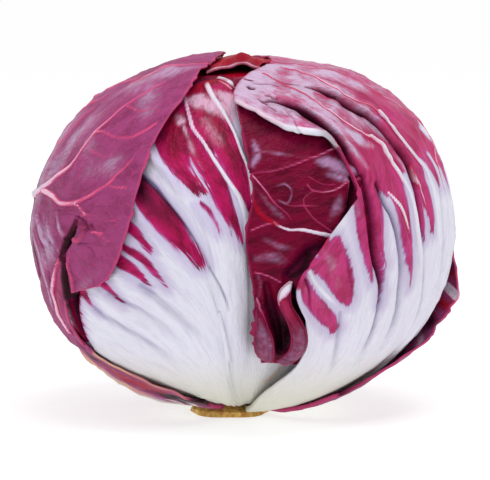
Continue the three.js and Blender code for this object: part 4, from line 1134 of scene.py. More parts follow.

# %% The right leaf's painted sheen, and its creases with painted shade
RIGHT_SHEENS = [
    stroke([(1, 42.5), (2, 47), (5, 52), (10, 57), (16, 61)], (3, 3.6, 4, 4, 3.6), 0,
           bloom=(0.8, 1.2, 1.2, 1, 0.9)),
    stroke([(8, 46.5), (12, 47), (17, 45), (21, 42)], (1.6, 2, 1.8, 1.2), 0.4,
           bloom=(0.7, 1.2, 1.1, 0.6)),
    stroke([(16, 35.5), (20, 35), (24, 31.5), (27, 28)], (1.6, 2.4, 2.4, 1.4), 0.5,
           bloom=(0.8, 1.2, 1.2, 0.8)),
    stroke([(3, 38.5), (8, 36), (12, 32)], (1.5, 2, 1.6), 0.2, bloom=(0.6, 0.6, 0.5)),
    stroke([(20, 62), (30, 60), (42, 56), (52, 50), (60, 44)], (4, 4.4, 4.4, 4, 3), 0,
           bloom=(0.9, 0.9, 0.8, 0.7, 0.4)),
    stroke([(28, 51), (34, 49), (40, 45.5), (46, 42)], (1.6, 2, 2, 1.4), 0, bloom=(0.8, 0.9, 0.7, 0.3)),
    stroke([(35, 42.3), (38.5, 38), (39.5, 35.3)], (0.9, 1.5, 1), 0.3, bloom=(0.9, 1.2, 0.9)),
    stroke([(42.5, 34.5), (45.5, 31.5), (47.5, 28)], (0.8, 1.2, 0.7), 0.3, bloom=(0.9, 1.2, 0.5)),
    stroke([(33.8, 31.8), (37, 29), (40.5, 27.3)], (1, 1.6, 1.2), 0.2, bloom=(1, 1.2, 0.8)),
    stroke([(31.8, 28), (34.5, 25), (37, 21)], (0.8, 1, 0.8), 0, bloom=(0.8, 0.6, 0.3)),
    stroke([(47.5, 26), (51, 20.5), (53, 14)], (0.8, 0.8, 0.5), 0, bloom=(0.4, 0.5, 0.4)),
    stroke([(21.5, 0), (24.5, -4), (26, -9)], (1.4, 2, 1.5), 0, bloom=(0.2, 0.3, 0.2)),
    stroke([(17, -9.6), (21, -13), (24.5, -17)], (0.9, 1.4, 1), 0, bloom=(0.25, 0.2, 0.1)),
    stroke([(31, 13), (31.6, 9)], (0.7, 0.6), 0, bloom=0.5),
]
RIGHT_CREASES = [
    stroke([(14.8, 39.5), (16, 36.5), (17, 33), (18, 30)], (0.25, 0.3, 0.3, 0.25), -0.4, shade=0.3,
           rib=0.35),
    stroke([(16.8, 30.4), (21, 29.8), (25, 28.4), (28, 26.6)], 0.3, -0.4, shade=(0.4, 0.6, 0.5)),
    stroke([(4.5, 50.2), (8, 49.6), (11.5, 49.8), (15, 49.3)], (0.25, 0.3, 0.25), -0.5, shade=0.4,
           rib=0.3),
    stroke([(1.2, 52.6), (3, 51.6), (4.6, 51.3)], 0.18, -0.4, shade=0.7),
    stroke([(2.4, 48.6), (3.6, 47.6), (4.7, 47.4)], (0.4, 0.5, 0.35), -0.7, shade=0.8),
    stroke([(9, 44.3), (11.5, 43.2), (13.5, 43.4)], (0.2, 0.25), -0.4, shade=0.5),
    stroke([(6, 43.2), (9, 40.6), (11.5, 38.6)], 0.3, -0.4, shade=0.45),
    stroke([(7.5, 39.5), (11, 38), (14, 37.4)], (1.2, 1.4, 0.9), -0.3, shade=0.25),
    stroke([(14, 52.4), (19, 50.6), (24, 48.8)], 0.3, -0.3, shade=(0.3, 0.5, 0.4)),
    stroke([(28.6, 45.6), (32.5, 43.8), (36, 40.5)], (0.2, 0.25), 0.3, rib=0.5),
    stroke([(24, 64), (36, 60.5), (48, 56), (58, 50), (66, 43)], 0.3, 0.35, rib=(0.4, 0.6, 0.5, 0.6)),
    stroke([(32, 63.5), (46, 59.5), (58, 54.5)], 0.25, 0.3, rib=(0.4, 0.6, 0.3)),
    stroke([(38, 52), (45, 48.5), (51, 44)], 0.2, -0.25, shade=(0.2, 0.4, 0.2)),
]
print("creases:", len(RIGHT_CREASES))

# %% Shape the right leaf
RIGHT_LEVEL = 0.4  # mm over the outline
RIGHT_PLEATS = 15
FOLD_START = 0.72  # share of the way up the leaf
FOLD_ROLL, FOLD_TURN = 4.2, -200.0  # mm of margin rolled in, and degrees that it turns
EDGE_PLACE, EDGE_WIDTH, EDGE_NARROWS = 2.6, 1.25, 0.65  # mm, the white line along the fold's edge
RIGHT_SIDE_RIBS = [(0.7, 0.74, 0.7, 2.2), (0.76, 0.81, 0.74, 2.6), (0.82, 0.88, 0.84, 2.6),
                   (0.88, 0.94, 0.8, 2.4), (0.94, 0.985, 0.75, 2.2)]


def right_leaf():
    sheet = Sheet(RIGHT_NET, RIGHT_LEVEL, np.linspace(0, 1, 206), np.linspace(0, 1, 231))
    sheet.add(RIGHT_STAINS)
    side = ease((sheet.u - 0.66) / 0.06)
    ribs_apart = np.cos(2 * np.pi * RIGHT_PLEATS * sheet.u)
    fingers = 17 * ribs_apart * np.abs(ribs_apart) ** 0.3 + 12 * noise(sheet.grain, 9.0)
    side_stain = 0.5 * (sheet.elevation - 30 + 34 * ease((sheet.u - 0.78) / 0.22) + fingers)
    sheet.stain = np.maximum(sheet.stain, side_stain - 60 * (1 - side))
    side_pleats = side * (1 - ease((sheet.elevation - 10) / 40))
    sheet.lift -= 0.45 * ribs_apart * side_pleats
    folded_tip = ease((sheet.v - FOLD_START) / 0.08) * (1 - ease((sheet.u - 0.42) / 0.2))
    # The right side is painted paler towards its top, and the tip that turns over paler still: wax and
    # painted sheen.
    paler_upper_side = 0.36 * side * ease((sheet.elevation - 20) / 30) * (1 - folded_tip)
    sheet.paint["bloom"] = np.maximum(0.76 * folded_tip, paler_upper_side)
    sheet.add(RIGHT_RIBS + RIGHT_SHEENS)
    sheet.add(fan_ribs(sheet, RIGHT_SIDE_RIBS))
    upper = ease((sheet.elevation - 12) / 18)
    crumple(sheet, 0.12 + 0.5 * upper, 5.5)
    sheet.add(RIGHT_FOLDS + RIGHT_CREASES)
    # Less pale paint where shade is painted, so that the painted sheen doesn't lighten the folds.
    sheet.paint["bloom"] *= 1 - 0.85 * np.minimum(1, sheet.paint["shade"])
    over = ease((sheet.v - FOLD_START) / 0.06)
    sheet.lift += 1.3 * over * np.exp(-((sheet.from_left / 7) ** 2))
    at_fold = ease((sheet.v - 0.755) / 0.02)
    to_tip = ease((sheet.v - 0.84) / 0.08)
    wide = EDGE_WIDTH - EDGE_NARROWS * to_tip
    band = at_fold * np.exp(-(((sheet.from_left - EDGE_PLACE) / wide) ** 4))
    sheet.paint["white"] = np.maximum(sheet.paint["white"], band * (1 - 0.45 * to_tip))
    points = roll_margin(sheet.points(), "left", FOLD_ROLL * over[:, 0], FOLD_TURN)
    thickness = base_thickness(sheet, 0.9)
    blade = blade_object("leaf_right", sheet, points, thickness, pleated_leaf, raggedness=0.5)
    leaf_object("leaf_right", "white_based_leaf", blade)


right_leaf()

# %% [markdown]
# ## The left leaf
# Dusky and matt, from behind on the left; a forked pink vein crosses it. Low on the left it looks
# torn: a flap hangs in front of a dark slit, and its own margin curls up beside it as a pale lip. A
# real tear goes through the leaf. Here the slit is a deep groove with shade painted dark into it,
# which leaves the mesh closed.

# %% The left leaf's net
LEFT_NET = [
    [(-128, -73, 1), (-134, -52, 1.4), (-126, -28, 1.2), (-110, -14, -1.0), (-88, -8, -1.8),
     (-71, -19, -0.6), (-64.5, -31.5, 0)],
    [(-133, -73, 1), (-134, -50, 1.4), (-124, -24, 1.4), (-107, -7, -0.8), (-84, -2, -1.2),
     (-67, -9, -0.2), (-57, -15)],
    [(-138, -73, 1), (-136, -47, 1.4), (-123, -19, 1.4), (-105, -1, -0.8), (-82, 3, -0.8), (-60, -1),
     (-38, -8)],
    [(-144, -73, 1), (-139, -44, 1.4), (-124, -14, 1.4), (-104, 5, -0.8), (-80, 8, -0.8), (-55, 6),
     (-30, 8)],
    [(-148, -73, 1), (-142, -42, 1.4), (-125, -10, 1.4), (-104, 9, -0.8), (-79, 12, -0.8), (-50, 12),
     (-27, 26)],
    [(-152, -73, 1), (-145, -42, 1.4), (-127, -8, 1.4), (-105, 12, -0.8), (-75, 17, -0.6), (-47, 27),
     (-22, 43)],
    [(-156, -73, 1), (-149, -42, 1.4), (-130, -6, 1.4), (-107, 15, -0.8), (-72, 24), (-45, 42),
     (-22, 58)],
    [(-164, -73, 1), (-160, -40, 1.4), (-146, -2, 1.4), (-128, 26, -0.2), (-104, 50), (-72, 64),
     (-27, 69)],
    [(-175, -73, 1), (-176, -40, 1.4), (-172, -2, 1.4), (-168, 30, 0.9), (-164, 58, 0.2), (-152, 78, 0.2),
     (-42, 80, 0.2)],
]
print("columns in the left leaf's net:", len(LEFT_NET))

# %% The left leaf's veins
LEFT_VEINS = [
    stroke([(-104, 9), (-84, 11), (-72, 13.5), (-62, 18), (-55.5, 22), (-50, 30.5), (-46, 35),
            (-42.5, 40), (-39, 43.5), (-33.5, 49)], (1.2, 1, 0.85, 0.6, 0.5, 0.42, 0.35, 0.3, 0.25, 0.2),
           (0.9, 0.8, 0.7, 0.6, 0.5, 0.3, 0.2), rib=(1.2, 1.2, 1.1, 1, 0.9, 0.7, 0.5)),
    stroke([(-100, 9.5), (-84, 11), (-73, 13.4), (-66, 16)], (0.8, 0.7, 0.5, 0.2), 0.2,
           white=(1, 1, 0.9, 0.5)),
    stroke([(-71.5, 13), (-62, 12), (-56.5, 10.5), (-49.5, 11), (-44, 13), (-41, 15), (-38, 16.5),
            (-35.5, 19), (-31, 24)], (0.6, 0.5, 0.42, 0.35, 0.3, 0.3, 0.25, 0.2, 0.15),
           (0.6, 0.5, 0.4, 0.3, 0.2), rib=(1.2, 1.1, 0.9, 0.7, 0.65, 0.4)),
    stroke([(-49.5, 11), (-47.5, 10.5), (-44.5, 8.5)], (0.3, 0.15), 0.2, rib=0.9),
    stroke([(-50, 30.5), (-46, 30.5), (-41.5, 29.5), (-37, 29), (-33.5, 29.5), (-30, 31.5), (-27, 34)],
           (0.3, 0.22, 0.15), 0.2, rib=(0.9, 0.7, 0.5)),
    stroke([(-42, 39), (-38, 38), (-34.5, 37.5), (-31, 38.5), (-27.5, 37.5)], (0.25, 0.15), 0.2,
           rib=(0.8, 0.45)),
    stroke([(-49.5, 25.5), (-45.5, 24.5), (-41.5, 23.5), (-37.5, 24)], (0.2, 0.12), 0.15, rib=(0.7, 0.4)),
    stroke([(-38, 16.5), (-36, 16), (-32, 16)], (0.2, 0.12), 0.15, rib=0.7),
    stroke([(-55.5, 22), (-52, 20), (-48.5, 19.5)], (0.16, 0.12), 0.15, rib=0.45),
    stroke([(-62, 18), (-60, 26), (-58, 33), (-54, 39)], (0.25, 0.2, 0.15), 0.15, rib=(0.6, 0.5, 0.4)),
    stroke([(-72, 14), (-74, 22), (-74, 31), (-70, 40)], (0.3, 0.22, 0.15), 0.2, rib=(0.7, 0.6, 0.4)),
    stroke([(-60, 50.5), (-54.5, 51), (-50.5, 53), (-44.5, 56), (-32, 61), (-24, 63)], (0.3, 0.3), 0.4,
           rib=(0.7, 0.9, 0.7, 0.5)),
    stroke([(-59.5, 37.5), (-56.5, 40.5), (-54.5, 42.5), (-51.5, 43.5)], 0.18, -0.3, shade=0.4),
    stroke([(-61.5, 21.5), (-60, 24), (-61.5, 29)], 0.2, -0.2, shade=0.4),
    stroke([(-46.5, 8), (-42, 8.5), (-37, 7), (-33, 8)], (0.14, 0.12), 0.12, rib=0.4),
    stroke([(-44.5, 8.5), (-40, 4), (-36, 2)], (0.16, 0.12), 0.12, rib=0.45),
]
print("veins:", len(LEFT_VEINS))

# %% The flap and the slit, with painted shade in the slit and in the hollow by the lip
LEFT_TEAR = [
    stroke([(-47.5, 6.8), (-48.4, 4), (-50.6, 1), (-52.6, -2), (-53, -5), (-53.4, -8), (-54.6, -12),
            (-56, -15)], (0.4, 0.8, 0.9, 0.6, 0.6, 0.9, 1.1, 1.1), (-1.5, -3, -3.5, -3, -3, -3, -3, -3),
           power=4),
    stroke([(-48.5, 6.8), (-49.6, 4), (-51.8, 1), (-53.8, -2), (-54.2, -5), (-54.6, -8), (-55.8, -12),
            (-57, -15)], (0.5, 1, 1.1, 0.7, 0.7, 1.1, 1.3, 1.3), 0, power=3,
           shade=(0.7, 1, 1.1, 0.9, 0.9, 1.1, 1.1, 1.1)),
    stroke([(-46.2, 5.8), (-44.4, 4.6), (-46, 1.8), (-48.6, 1.6)], 0.4, 0.7, shade=(0.5, 0.2),
           rib=(0.4, 0.6)),
    stroke([(-48, 7.8), (-45.4, 7), (-43.4, 4.6)], (0.4, 0.5, 0.4), -0.8, shade=0.6),
    stroke([(-50, -1.6), (-51.4, -5), (-50.8, -9), (-52, -13.6)], 0.32, 0.7, rib=(0.5, 0.7, 0.5)),
    stroke([(-46.5, 1), (-42.5, 0), (-41, -2)], 0.22, -0.35, shade=0.45),
    stroke([(-46, 1.2), (-42, 1.2), (-38.5, 0.8)], 0.2, -0.3, shade=0.4),
    stroke([(-42.5, 5.8), (-41, 4.4)], (0.8, 0.6), -0.5, shade=(0.7, 0.3)),
    stroke([(-42, 4), (-38.5, 3.8)], 0.15, 0.1, rib=0.7),
    stroke([(-53.5, -2.6), (-57, -6), (-59.6, -9), (-61.4, -12), (-63.4, -16), (-64.8, -19.5),
            (-66, -23.5), (-66.6, -27), (-66.4, -31)], (0.28, 0.3, 0.32, 0.32, 0.3), 0.8, power=3,
           rib=(0.7, 0.9, 1, 1, 0.9), white=(0, 0.1, 0.25, 0.3, 0.3, 0.2)),
    stroke([(-56, -7), (-58.4, -11), (-61, -15.5), (-63, -20), (-64.6, -25)], (0.8, 1.1, 1.1, 0.9, 0.5),
           0.2, flush=(0.3, 0.5, 0.4, 0.3, 0), bloom=0.35),
    stroke([(-73, 1), (-68.6, -2.5), (-66.6, -6), (-66.4, -11), (-68, -16), (-70.6, -19.5)],
           (0.5, 0.7, 0.8, 0.7, 0.5, 0.4), 0.3, power=3, bloom=(0.8, 1.3, 1.4, 1.2, 0.9, 0.6)),
    stroke([(-78, 1), (-75, -2.4), (-73, -5.5), (-72, -9.5)], (1.2, 2, 1.9, 1), -0.5, power=3,
           shade=(0.7, 1.2, 1.2, 0.8)),
    stroke([(-72.6, -9.5), (-73.4, -13), (-73.2, -16), (-73.8, -19)], (1, 0.9, 0.8, 0.6), -0.3, power=3,
           shade=(0.6, 0.8, 1, 0.7)),
    stroke([(-62.6, -8), (-63.8, -12), (-65.4, -17)], (0.6, 0.7, 0.5), -0.6, shade=(0.5, 0.7, 0.5)),
]
print("strokes at the slit:", len(LEFT_TEAR))

# %% The left leaf's wrinkles with painted sheen and shade, and a painted dark band along the crown
LEFT_WRINKLES_AND_PAINTED_LIGHT = [
    stroke([(-71.5, 6), (-67.5, 3.5), (-63.5, 0.5), (-59.5, -1), (-57, -4)], (0.4, 0.5, 0.4), 0.8,
           bloom=(0.7, 1.2, 0.8)),
    stroke([(-67, 7), (-63, 4), (-60, 1), (-57, -2)], (0.35, 0.45, 0.35), 0.7, bloom=(0.6, 1.2, 0.6)),
    stroke([(-63.5, 7.5), (-61, 3.5), (-57.5, 0), (-54.5, -2)], (0.3, 0.4, 0.3), 0.7,
           bloom=(0.5, 1.1, 0.5)),
    stroke([(-57, 8), (-54.5, 4), (-52, 1.5)], (0.3, 0.4, 0.3), 0.6, bloom=(0.4, 0.9, 0.4)),
    stroke([(-42, 59), (-41.5, 62), (-38.5, 65), (-31, 67.5), (-21.5, 68), (-14, 67.5)],
           (0.8, 1.4, 1.8, 2, 1.8, 1.2), -0.4, flush=(0.2, 0.4, 0.4, 0.4, 0.4, 0.3),
           shade=(0.2, 0.4, 0.4, 0.4, 0.4, 0.3)),
    stroke([(-44, 56), (-39.5, 59.5), (-34, 62.5), (-28, 64), (-20, 64.6), (-14, 64.4)], 0.4, 0.4,
           bloom=1.2, rib=0.5),
    stroke([(-68, 2), (-64, -1.5), (-62, -6)], (0.35, 0.45, 0.3), -0.6, shade=(0.2, 0.5, 0.4)),
    stroke([(-64, 4.4), (-59.6, 1), (-57.5, -4)], (0.3, 0.4, 0.3), -0.5, shade=(0.2, 0.5, 0.3)),
    stroke([(-60, 34), (-66, 22), (-76, 14)], (6, 5, 5), bloom=0.5),
    stroke([(-62, 46), (-52, 50), (-40, 54), (-28, 60)], (4, 5, 5, 4), bloom=(0.3, 0.6, 0.6, 0.5)),
    stroke([(-46, 46), (-38, 45), (-33, 38)], (4, 4, 3.5), bloom=(0.4, 0.5, 0.4)),
    stroke([(-52, 28), (-44, 20), (-36, 22)], (3, 4, 3), bloom=(0.4, 0.5, 0.4)),
    stroke([(-64, 5), (-60, -2), (-66, -6)], (4, 4, 3), bloom=0.5),
    stroke([(-41, -6), (-45, -9), (-49, -11)], (2, 2, 1.6), bloom=0.3),
    stroke([(-80, 30), (-78, 10), (-80, 0)], (7, 7, 5), bloom=0.6),
]
print("wrinkles:", len(LEFT_WRINKLES_AND_PAINTED_LIGHT))

# %% The left leaf's ribs round the side
LEFT_SIDE_RIBS = [
    stroke([(-148, -70), (-141, -44), (-126, -14), (-112, 4), (-100, 9.5)], (3.4, 2.8, 2.1, 1.5, 1.2),
           (1.2, 1.4, 1.2, 0.9), power=3, clear=0.9),
    stroke([(-140, -42), (-126, -36), (-112, -26)], (1.2, 0.7, 0.3), (0.8, 0.5, 0.2), power=3, clear=1.0),
    stroke([(-133, -27), (-118, -21), (-106, -12)], (1, 0.6, 0.3), (0.7, 0.5, 0.2), power=3, clear=1.0),
    stroke([(-145, -56), (-152, -30), (-154, -2), (-148, 24), (-136, 44)], (2, 1.3, 0.9, 0.5, 0.3),
           (1, 0.9, 0.7, 0.4), power=3, clear=0.9, rib=(0, 0, 0.4, 0.8, 0.5)),
    stroke([(-137, -36), (-138, -14), (-134, 8), (-124, 28), (-110, 44)], (1.5, 1, 0.7, 0.4, 0.3),
           (0.9, 0.7, 0.6, 0.3), power=3, clear=0.9, rib=(0, 0, 0.5, 0.8, 0.5)),
    stroke([(-122, -8), (-118, 12), (-108, 30), (-92, 44)], (1, 0.6, 0.4, 0.3), (0.7, 0.6, 0.4, 0.2),
           power=3, clear=0.7, rib=(0.2, 0.7, 0.8, 0.4)),
    stroke([(-108, 7), (-100, 22), (-88, 34), (-74, 44)], (0.5, 0.4, 0.3), 0.4, rib=(0.8, 0.9, 0.5)),
    stroke([(-116, 0), (-106, -3), (-95, -2)], (0.5, 0.4, 0.3), 0.3, rib=(0.7, 0.8, 0.4)),
    stroke([(-152, -24), (-162, -6), (-166, 14)], (0.6, 0.4, 0.3), 0.4, rib=(0.7, 0.8, 0.4)),
    stroke([(-153, 4), (-162, 24), (-164, 40)], (0.4, 0.3), 0.3, rib=(0.8, 0.4)),
    stroke([(-146, 28), (-152, 44), (-150, 58)], (0.35, 0.3), 0.3, rib=(0.7, 0.4)),
    stroke([(-134, 8), (-142, 26), (-142, 40)], (0.35, 0.3), 0.3, rib=(0.8, 0.4)),
    stroke([(-124, 28), (-122, 44), (-112, 56)], (0.35, 0.3), 0.3, rib=(0.7, 0.4)),
]
print("side ribs:", len(LEFT_SIDE_RIBS))

# %% Shape the left leaf
LEFT_LEVEL = 0.6  # mm over the outline
CLOSE_ROWS = 1.3  # rows a little closer near the tip
LEFT_FAN = [(0.86, 0.83, 0.72, 2.2), (0.95, 0.94, 0.74, 1.8)]


def left_leaf():
    up = 1 - (1 - np.linspace(0, 1, 221)) ** CLOSE_ROWS
    sheet = Sheet(LEFT_NET, LEFT_LEVEL, np.linspace(0, 1, 213), up)
    fingers = 5 * np.cos(2 * np.pi * 11 * sheet.u) + 4 * noise(sheet.grain, 14.0)
    sheet.stain[:] = 0.5 * (sheet.from_base - 34 + fingers)
    sheet.add(fan_ribs(sheet, LEFT_FAN) + LEFT_SIDE_RIBS + LEFT_WRINKLES_AND_PAINTED_LIGHT)
    crumple(sheet, 0.55, 7.5)
    sheet.add(LEFT_VEINS + LEFT_TEAR)
    points = tip_teeth(teeth(sheet.points(), -1, 0.5, 1.6), 0.8, 2.0)
    blade = blade_object("leaf_left", sheet, points, base_thickness(sheet, 0.9), dusky_leaf)
    leaf_object("leaf_left", "dusky_leaf", blade)


left_leaf()

# %% [markdown]
# ## The back leaf
# It goes up the back and over the top, where its tip shows as a small bright crest. The back of a
# head is as ribbed as its front, so this leaf gets the whole fan, the midrib thickest.

# %% The back leaf's net
BACK_NET = [
    [(132, -75), (130, -50), (126, -24), (125, 2), (125, 28), (124, 52), (105, 70, 1.5), (24, 73, 1.6),
     (15, 67, 1.4)],
    [(150, -75), (148, -50), (146, -24), (145, 2), (146, 28), (146, 54), (138, 76, 1.5), (17, 77.5, 2.2),
     (10, 69, 1.4)],
    [(168, -75), (168, -50), (167, -24), (167, 2), (167, 28), (167, 54), (168, 79, 1.4), (8, 80, 2.8),
     (4, 71, 1.5)],
    [(180, -75), (180, -50), (180, -24), (180, 2), (180, 28), (180, 54), (180, 80, 1), (-2, 81, 3.2),
     (-3, 71.5, 1.5)],
    [(192, -75), (192, -50), (193, -24), (193, 2), (193, 28), (193, 54), (195, 79, 0.6), (-12, 80, 2.8),
     (-10, 70, 1.4)],
    [(210, -75, -0.3), (212, -50), (214, -24), (215, 2), (215, 28), (214, 54), (220, 76), (-26, 76, 1.8),
     (-17, 67.5, 1.3)],
    [(228, -75, -0.4), (232, -50), (236, -24), (238, 2), (238, 28), (237, 52), (252, 70), (-40, 70, 0.6),
     (-26, 64, 0.4)],
]
print("columns in the back leaf's net:", len(BACK_NET))

# %% Shape the back leaf
BACK_LEVEL = -1.9  # mm over the outline
RUFFLE, RUFFLE_SIZE = 0.8, 4.0  # mm high and across, on a loose tip
CREST_START, CREST_RIM = 0.78, 0.965  # shares of the way up the leaf
BACK_FAN = [(0.5, 0.5, 0.76, 3.6), (0.38, 0.33, 0.72, 2.6), (0.62, 0.67, 0.72, 2.6), (0.26, 0.18, 0.7, 2.4),
            (0.74, 0.82, 0.7, 2.4), (0.12, 0.06, 0.6, 2), (0.88, 0.94, 0.6, 2)]


def back_leaf():
    sheet = Sheet(BACK_NET, BACK_LEVEL, np.linspace(0, 1, 131), np.linspace(0, 1, 181))
    fingers = 9 * np.cos(2 * np.pi * 9 * sheet.u) + 5 * noise(sheet.grain, 14.0)
    sheet.stain[:] = 0.5 * (sheet.elevation + fingers - 4)
    crest = ease((sheet.v - CREST_START) / 0.04)
    sheet.stain = np.maximum(sheet.stain, 8 * crest)
    sheet.add(fan_ribs(sheet, BACK_FAN))
    crumple(sheet, 0.45, 6.5)
    sheet.lift += RUFFLE * crest * noise(sheet.ground, RUFFLE_SIZE)
    at_rim = ease((sheet.v - CREST_RIM) / 0.02)
    sheet.paint["flush"] = 0.95 * crest * (1 - at_rim)
    sheet.paint["bloom"] = np.maximum(sheet.paint["bloom"], 1.2 * at_rim)
    blade = blade_object("leaf_back", sheet, sheet.points(), base_thickness(sheet, 1.0), white_leaf)
    leaf_object("leaf_back", "white_based_leaf", blade)


back_leaf()

# %% [markdown]
# ## The loose outer leaves
# Two worn lower leaves stand off the head, one at the right and one at the lower left. They have
# been handled most, so their margins are ragged and the left one's has dried. Both come from one
# function, with the side that stands off turned magenta to its very edge.

# %% The right outer leaf
RIGHT_OUTER_NET = [
    [(46, -70, 0), (54, -51, 1.4), (64, -38, 1.8), (75, -29.5, 2.8), (85, -24, 3.2), (91, -17.5, 4.4),
     (90, -11, 1.8), (88, -4, -1.4)],
    [(66, -74, -0.6), (74, -57, 0.2), (82, -44, 0), (89, -34, 0), (94, -26, 0.2), (97, -17, 0.6),
     (97, -9, -0.2), (96, 0, -1)],
    [(90, -75, -0.8), (96, -58, -0.2), (100, -43, -0.1), (104, -29, 0.3), (107, -16, 0.6), (109, -4, 0.5),
     (110, 6, 0.3), (111, 14)],
    [(112, -75, 0), (118, -57, 0.6), (124, -41, 0.6), (128, -26, 0.6), (131, -12, 0.6), (133, 1, 0.6),
     (134, 11, 0.4), (134, 20, 0.3)],
    [(128, -75, 0), (136, -58, 0.6), (143, -43, 0.6), (148, -30, 0.6), (151, -17, 0.6), (152, -5, 0.6),
     (152, 6, 0.4), (152, 15, 0.3)],
    [(144, -75, 0), (154, -62, 0.6), (162, -51, 0.6), (168, -40, 0.6), (171, -30, 0.6), (172, -19, 0.6),
     (172, -9, 0.6), (172, 0, 0.3)],
]
# Besides the leaf's own white and red bands, the dark strokes are painted shade and the pale facet painted
# sheen.
RIGHT_OUTER_PAINT = [
    stroke([(112, -12), (97, -15), (91, -17)], (0.8, 1.2, 1.3), (0, 0.5, 0.5), power=3,
           white=(0, 0.8, 1.2)),
    stroke([(110, -7), (97, -10.5), (91, -12)], (1.4, 1.6, 1.4), 0, flush=(0, 0.9, 0.9)),
    stroke([(108, 0), (97, -3), (90, -5)], (2.5, 2.5, 2), 0, flush=(0, 0.8, 0.9)),
    stroke([(110, -16), (97, -19.5), (90, -20.5)], (1.2, 1.5, 1.2), (0, -0.6, -0.6), flush=(0, 1, 1)),
    stroke([(108, -19), (99, -21.6), (92, -23)], 0.3, (0, 0.4), rib=(0, 0.9), white=(0, 0.3)),
    stroke([(106, -23), (92, -25), (84, -26)], (2, 2, 1.6), (0, -0.8, -0.8), shade=(0, 1, 0.8)),
    stroke([(100, -31), (86, -30.5), (78, -31)], (1.8, 1.8, 1.4), (0, 0.5, 0.5), white=(0, 0.45),
           bloom=(0, 1.3)),
    stroke([(90, -36), (76, -38), (62, -44), (54, -52)], (1.6, 1.4, 1.2), 0, shade=0.75),
]
print("strokes on it:", len(RIGHT_OUTER_PAINT))

# %% The left outer leaf
LEFT_OUTER_NET = [
    [(-132, -72, 0.8), (-140, -62, 1), (-146, -50, 1.2), (-149, -38, 1.2), (-149, -28, 1.2),
     (-148, -18, 1.5), (-144, -8, 1.5)],
    [(-112, -72, 0.7), (-118, -60, 1), (-122, -47, 1.4), (-124, -32, 1.4), (-124, -20, 1.3),
     (-122, -8, 1.2), (-118, 6, 1)],
    [(-90, -72, 0.6), (-95, -60, 1.4), (-99, -46, 1.4), (-101, -32, 1.4), (-102, -20, 1.2), (-101, -6),
     (-98, 12)],
    [(-62, -72, 1), (-66, -64, 1.7), (-71, -54, 2), (-77, -44, 2.1), (-80, -34, 2.2), (-83, -25, 2.8),
     (-86, -8, 0.6)],
    [(-30, -74, 1), (-30, -60, 1.6), (-37, -50.5, 1.7), (-46, -44.5, 1.8), (-55, -40, 1.8),
     (-63, -34.5, 1.6), (-76, -12, 0.6)],
]
# Besides the dried edge and the red, the dark strokes are painted shade at both ends of the red band.
LEFT_OUTER_PAINT = [
    stroke([(-28, -62), (-34.5, -52.5), (-40.5, -48), (-50.5, -42.5), (-57, -39), (-63, -35)],
           (0.3, 0.3, 0.3, 0.4, 0.4, 0.5), 0.3, tan=(0, 0.3, 0.5, 0.7, 0.9, 0.9)),
    stroke([(-82, -36), (-77, -44), (-71, -53), (-64, -60)], (0.9, 1.1, 1.1, 0.8), 0.3, power=3,
           tan=(0.8, 1, 0.9, 0.3)),
    stroke([(-68, -41), (-61, -45), (-54, -49), (-47, -52.5), (-41, -56)], (2, 3, 3.6, 3.6, 2.6), -0.3,
           power=3, flush=(0.3, 1, 1, 1, 0.4)),
    stroke([(-73, -34), (-68, -38), (-63, -42)], (2, 2.2, 1.6), -0.3, power=3, shade=(1, 1, 0.2)),
    stroke([(-54, -54), (-44, -58), (-36, -60.5), (-28, -64)], (2, 3.4, 3.6, 3.6), -0.3, power=3,
           shade=(0.3, 1.1, 1.2, 1)),
]
print("strokes on it:", len(LEFT_OUTER_PAINT))

# %% Shape the outer leaves
RIGHT_OUTER_FAN = [(0.6, 0.6, 0.9, 2.4), (0.4, 0.4, 0.85, 1.8), (0.75, 0.78, 0.85, 1.8),
                   (0.9, 0.93, 0.8, 1.4)]
LEFT_OUTER_FAN = [(0.5, 0.48, 0.9, 2), (0.25, 0.22, 0.85, 1.6), (0.75, 0.72, 0.85, 1.6)]


def outer_leaf(name, net, level, ribs, white_length, paint, loose_side):
    """A loose leaf. Its white base is so many mm long, and its loose side is its left or right one."""
    sheet = Sheet(net, level, np.linspace(0, 1, 111), np.linspace(0, 1, 121))
    fingers = 4 * np.cos(2 * np.pi * 9 * sheet.u) + 4 * noise(sheet.grain, 10.0)
    sheet.stain[:] = 0.5 * (sheet.from_base - white_length + fingers)
    sheet.add(fan_ribs(sheet, ribs))
    crumple(sheet, 0.5, 6.0)
    near_tip = 1 - ease(sheet.to_tip / 12)
    sheet.lift += RUFFLE * near_tip * noise(sheet.ground, RUFFLE_SIZE)
    from_side = sheet.from_left if loose_side == "left" else sheet.to_right
    sheet.stain += 14 * (1 - ease(from_side / 5))
    sheet.add(paint)
    points = tip_teeth(sheet.points(), 1.0, 2.0)
    points = teeth(points, 0 if loose_side == "left" else -1, 0.7, 2.4)
    leaf_object(name, "dusky_leaf", blade_object(name, sheet, points, base_thickness(sheet, 0.7), dusky_leaf))


outer_leaf("leaf_right_outer", RIGHT_OUTER_NET, 1.4, RIGHT_OUTER_FAN, 24, RIGHT_OUTER_PAINT, "left")
outer_leaf("leaf_left_outer", LEFT_OUTER_NET, -1.4, LEFT_OUTER_FAN, 16, LEFT_OUTER_PAINT, "right")

# %% [markdown]
# ## The heart
# Packed inner leaves, seen only in the deepest gaps. Modelled one by one they would cost much and
# show nothing, so they are one core a few millimetres under the outer leaves, with a low spiral lap
# on it. It bulges under the crown, where the red crest's hollow would else look down into nothing.

# %% Heart
HEART_DEPTH = 6.0  # mm under the outline
CROWN_BULGE = 3.1
BULGE_FROM, BULGE_RUN = 0.84, 0.08  # shares of the way up
LAP_HEIGHT = 0.8
LAP_DEGREES, LAP_CLIMB = 120, 300  # azimuth and elevation that one lap takes
GRAIN_PER_DEGREE = 0.9  # mm


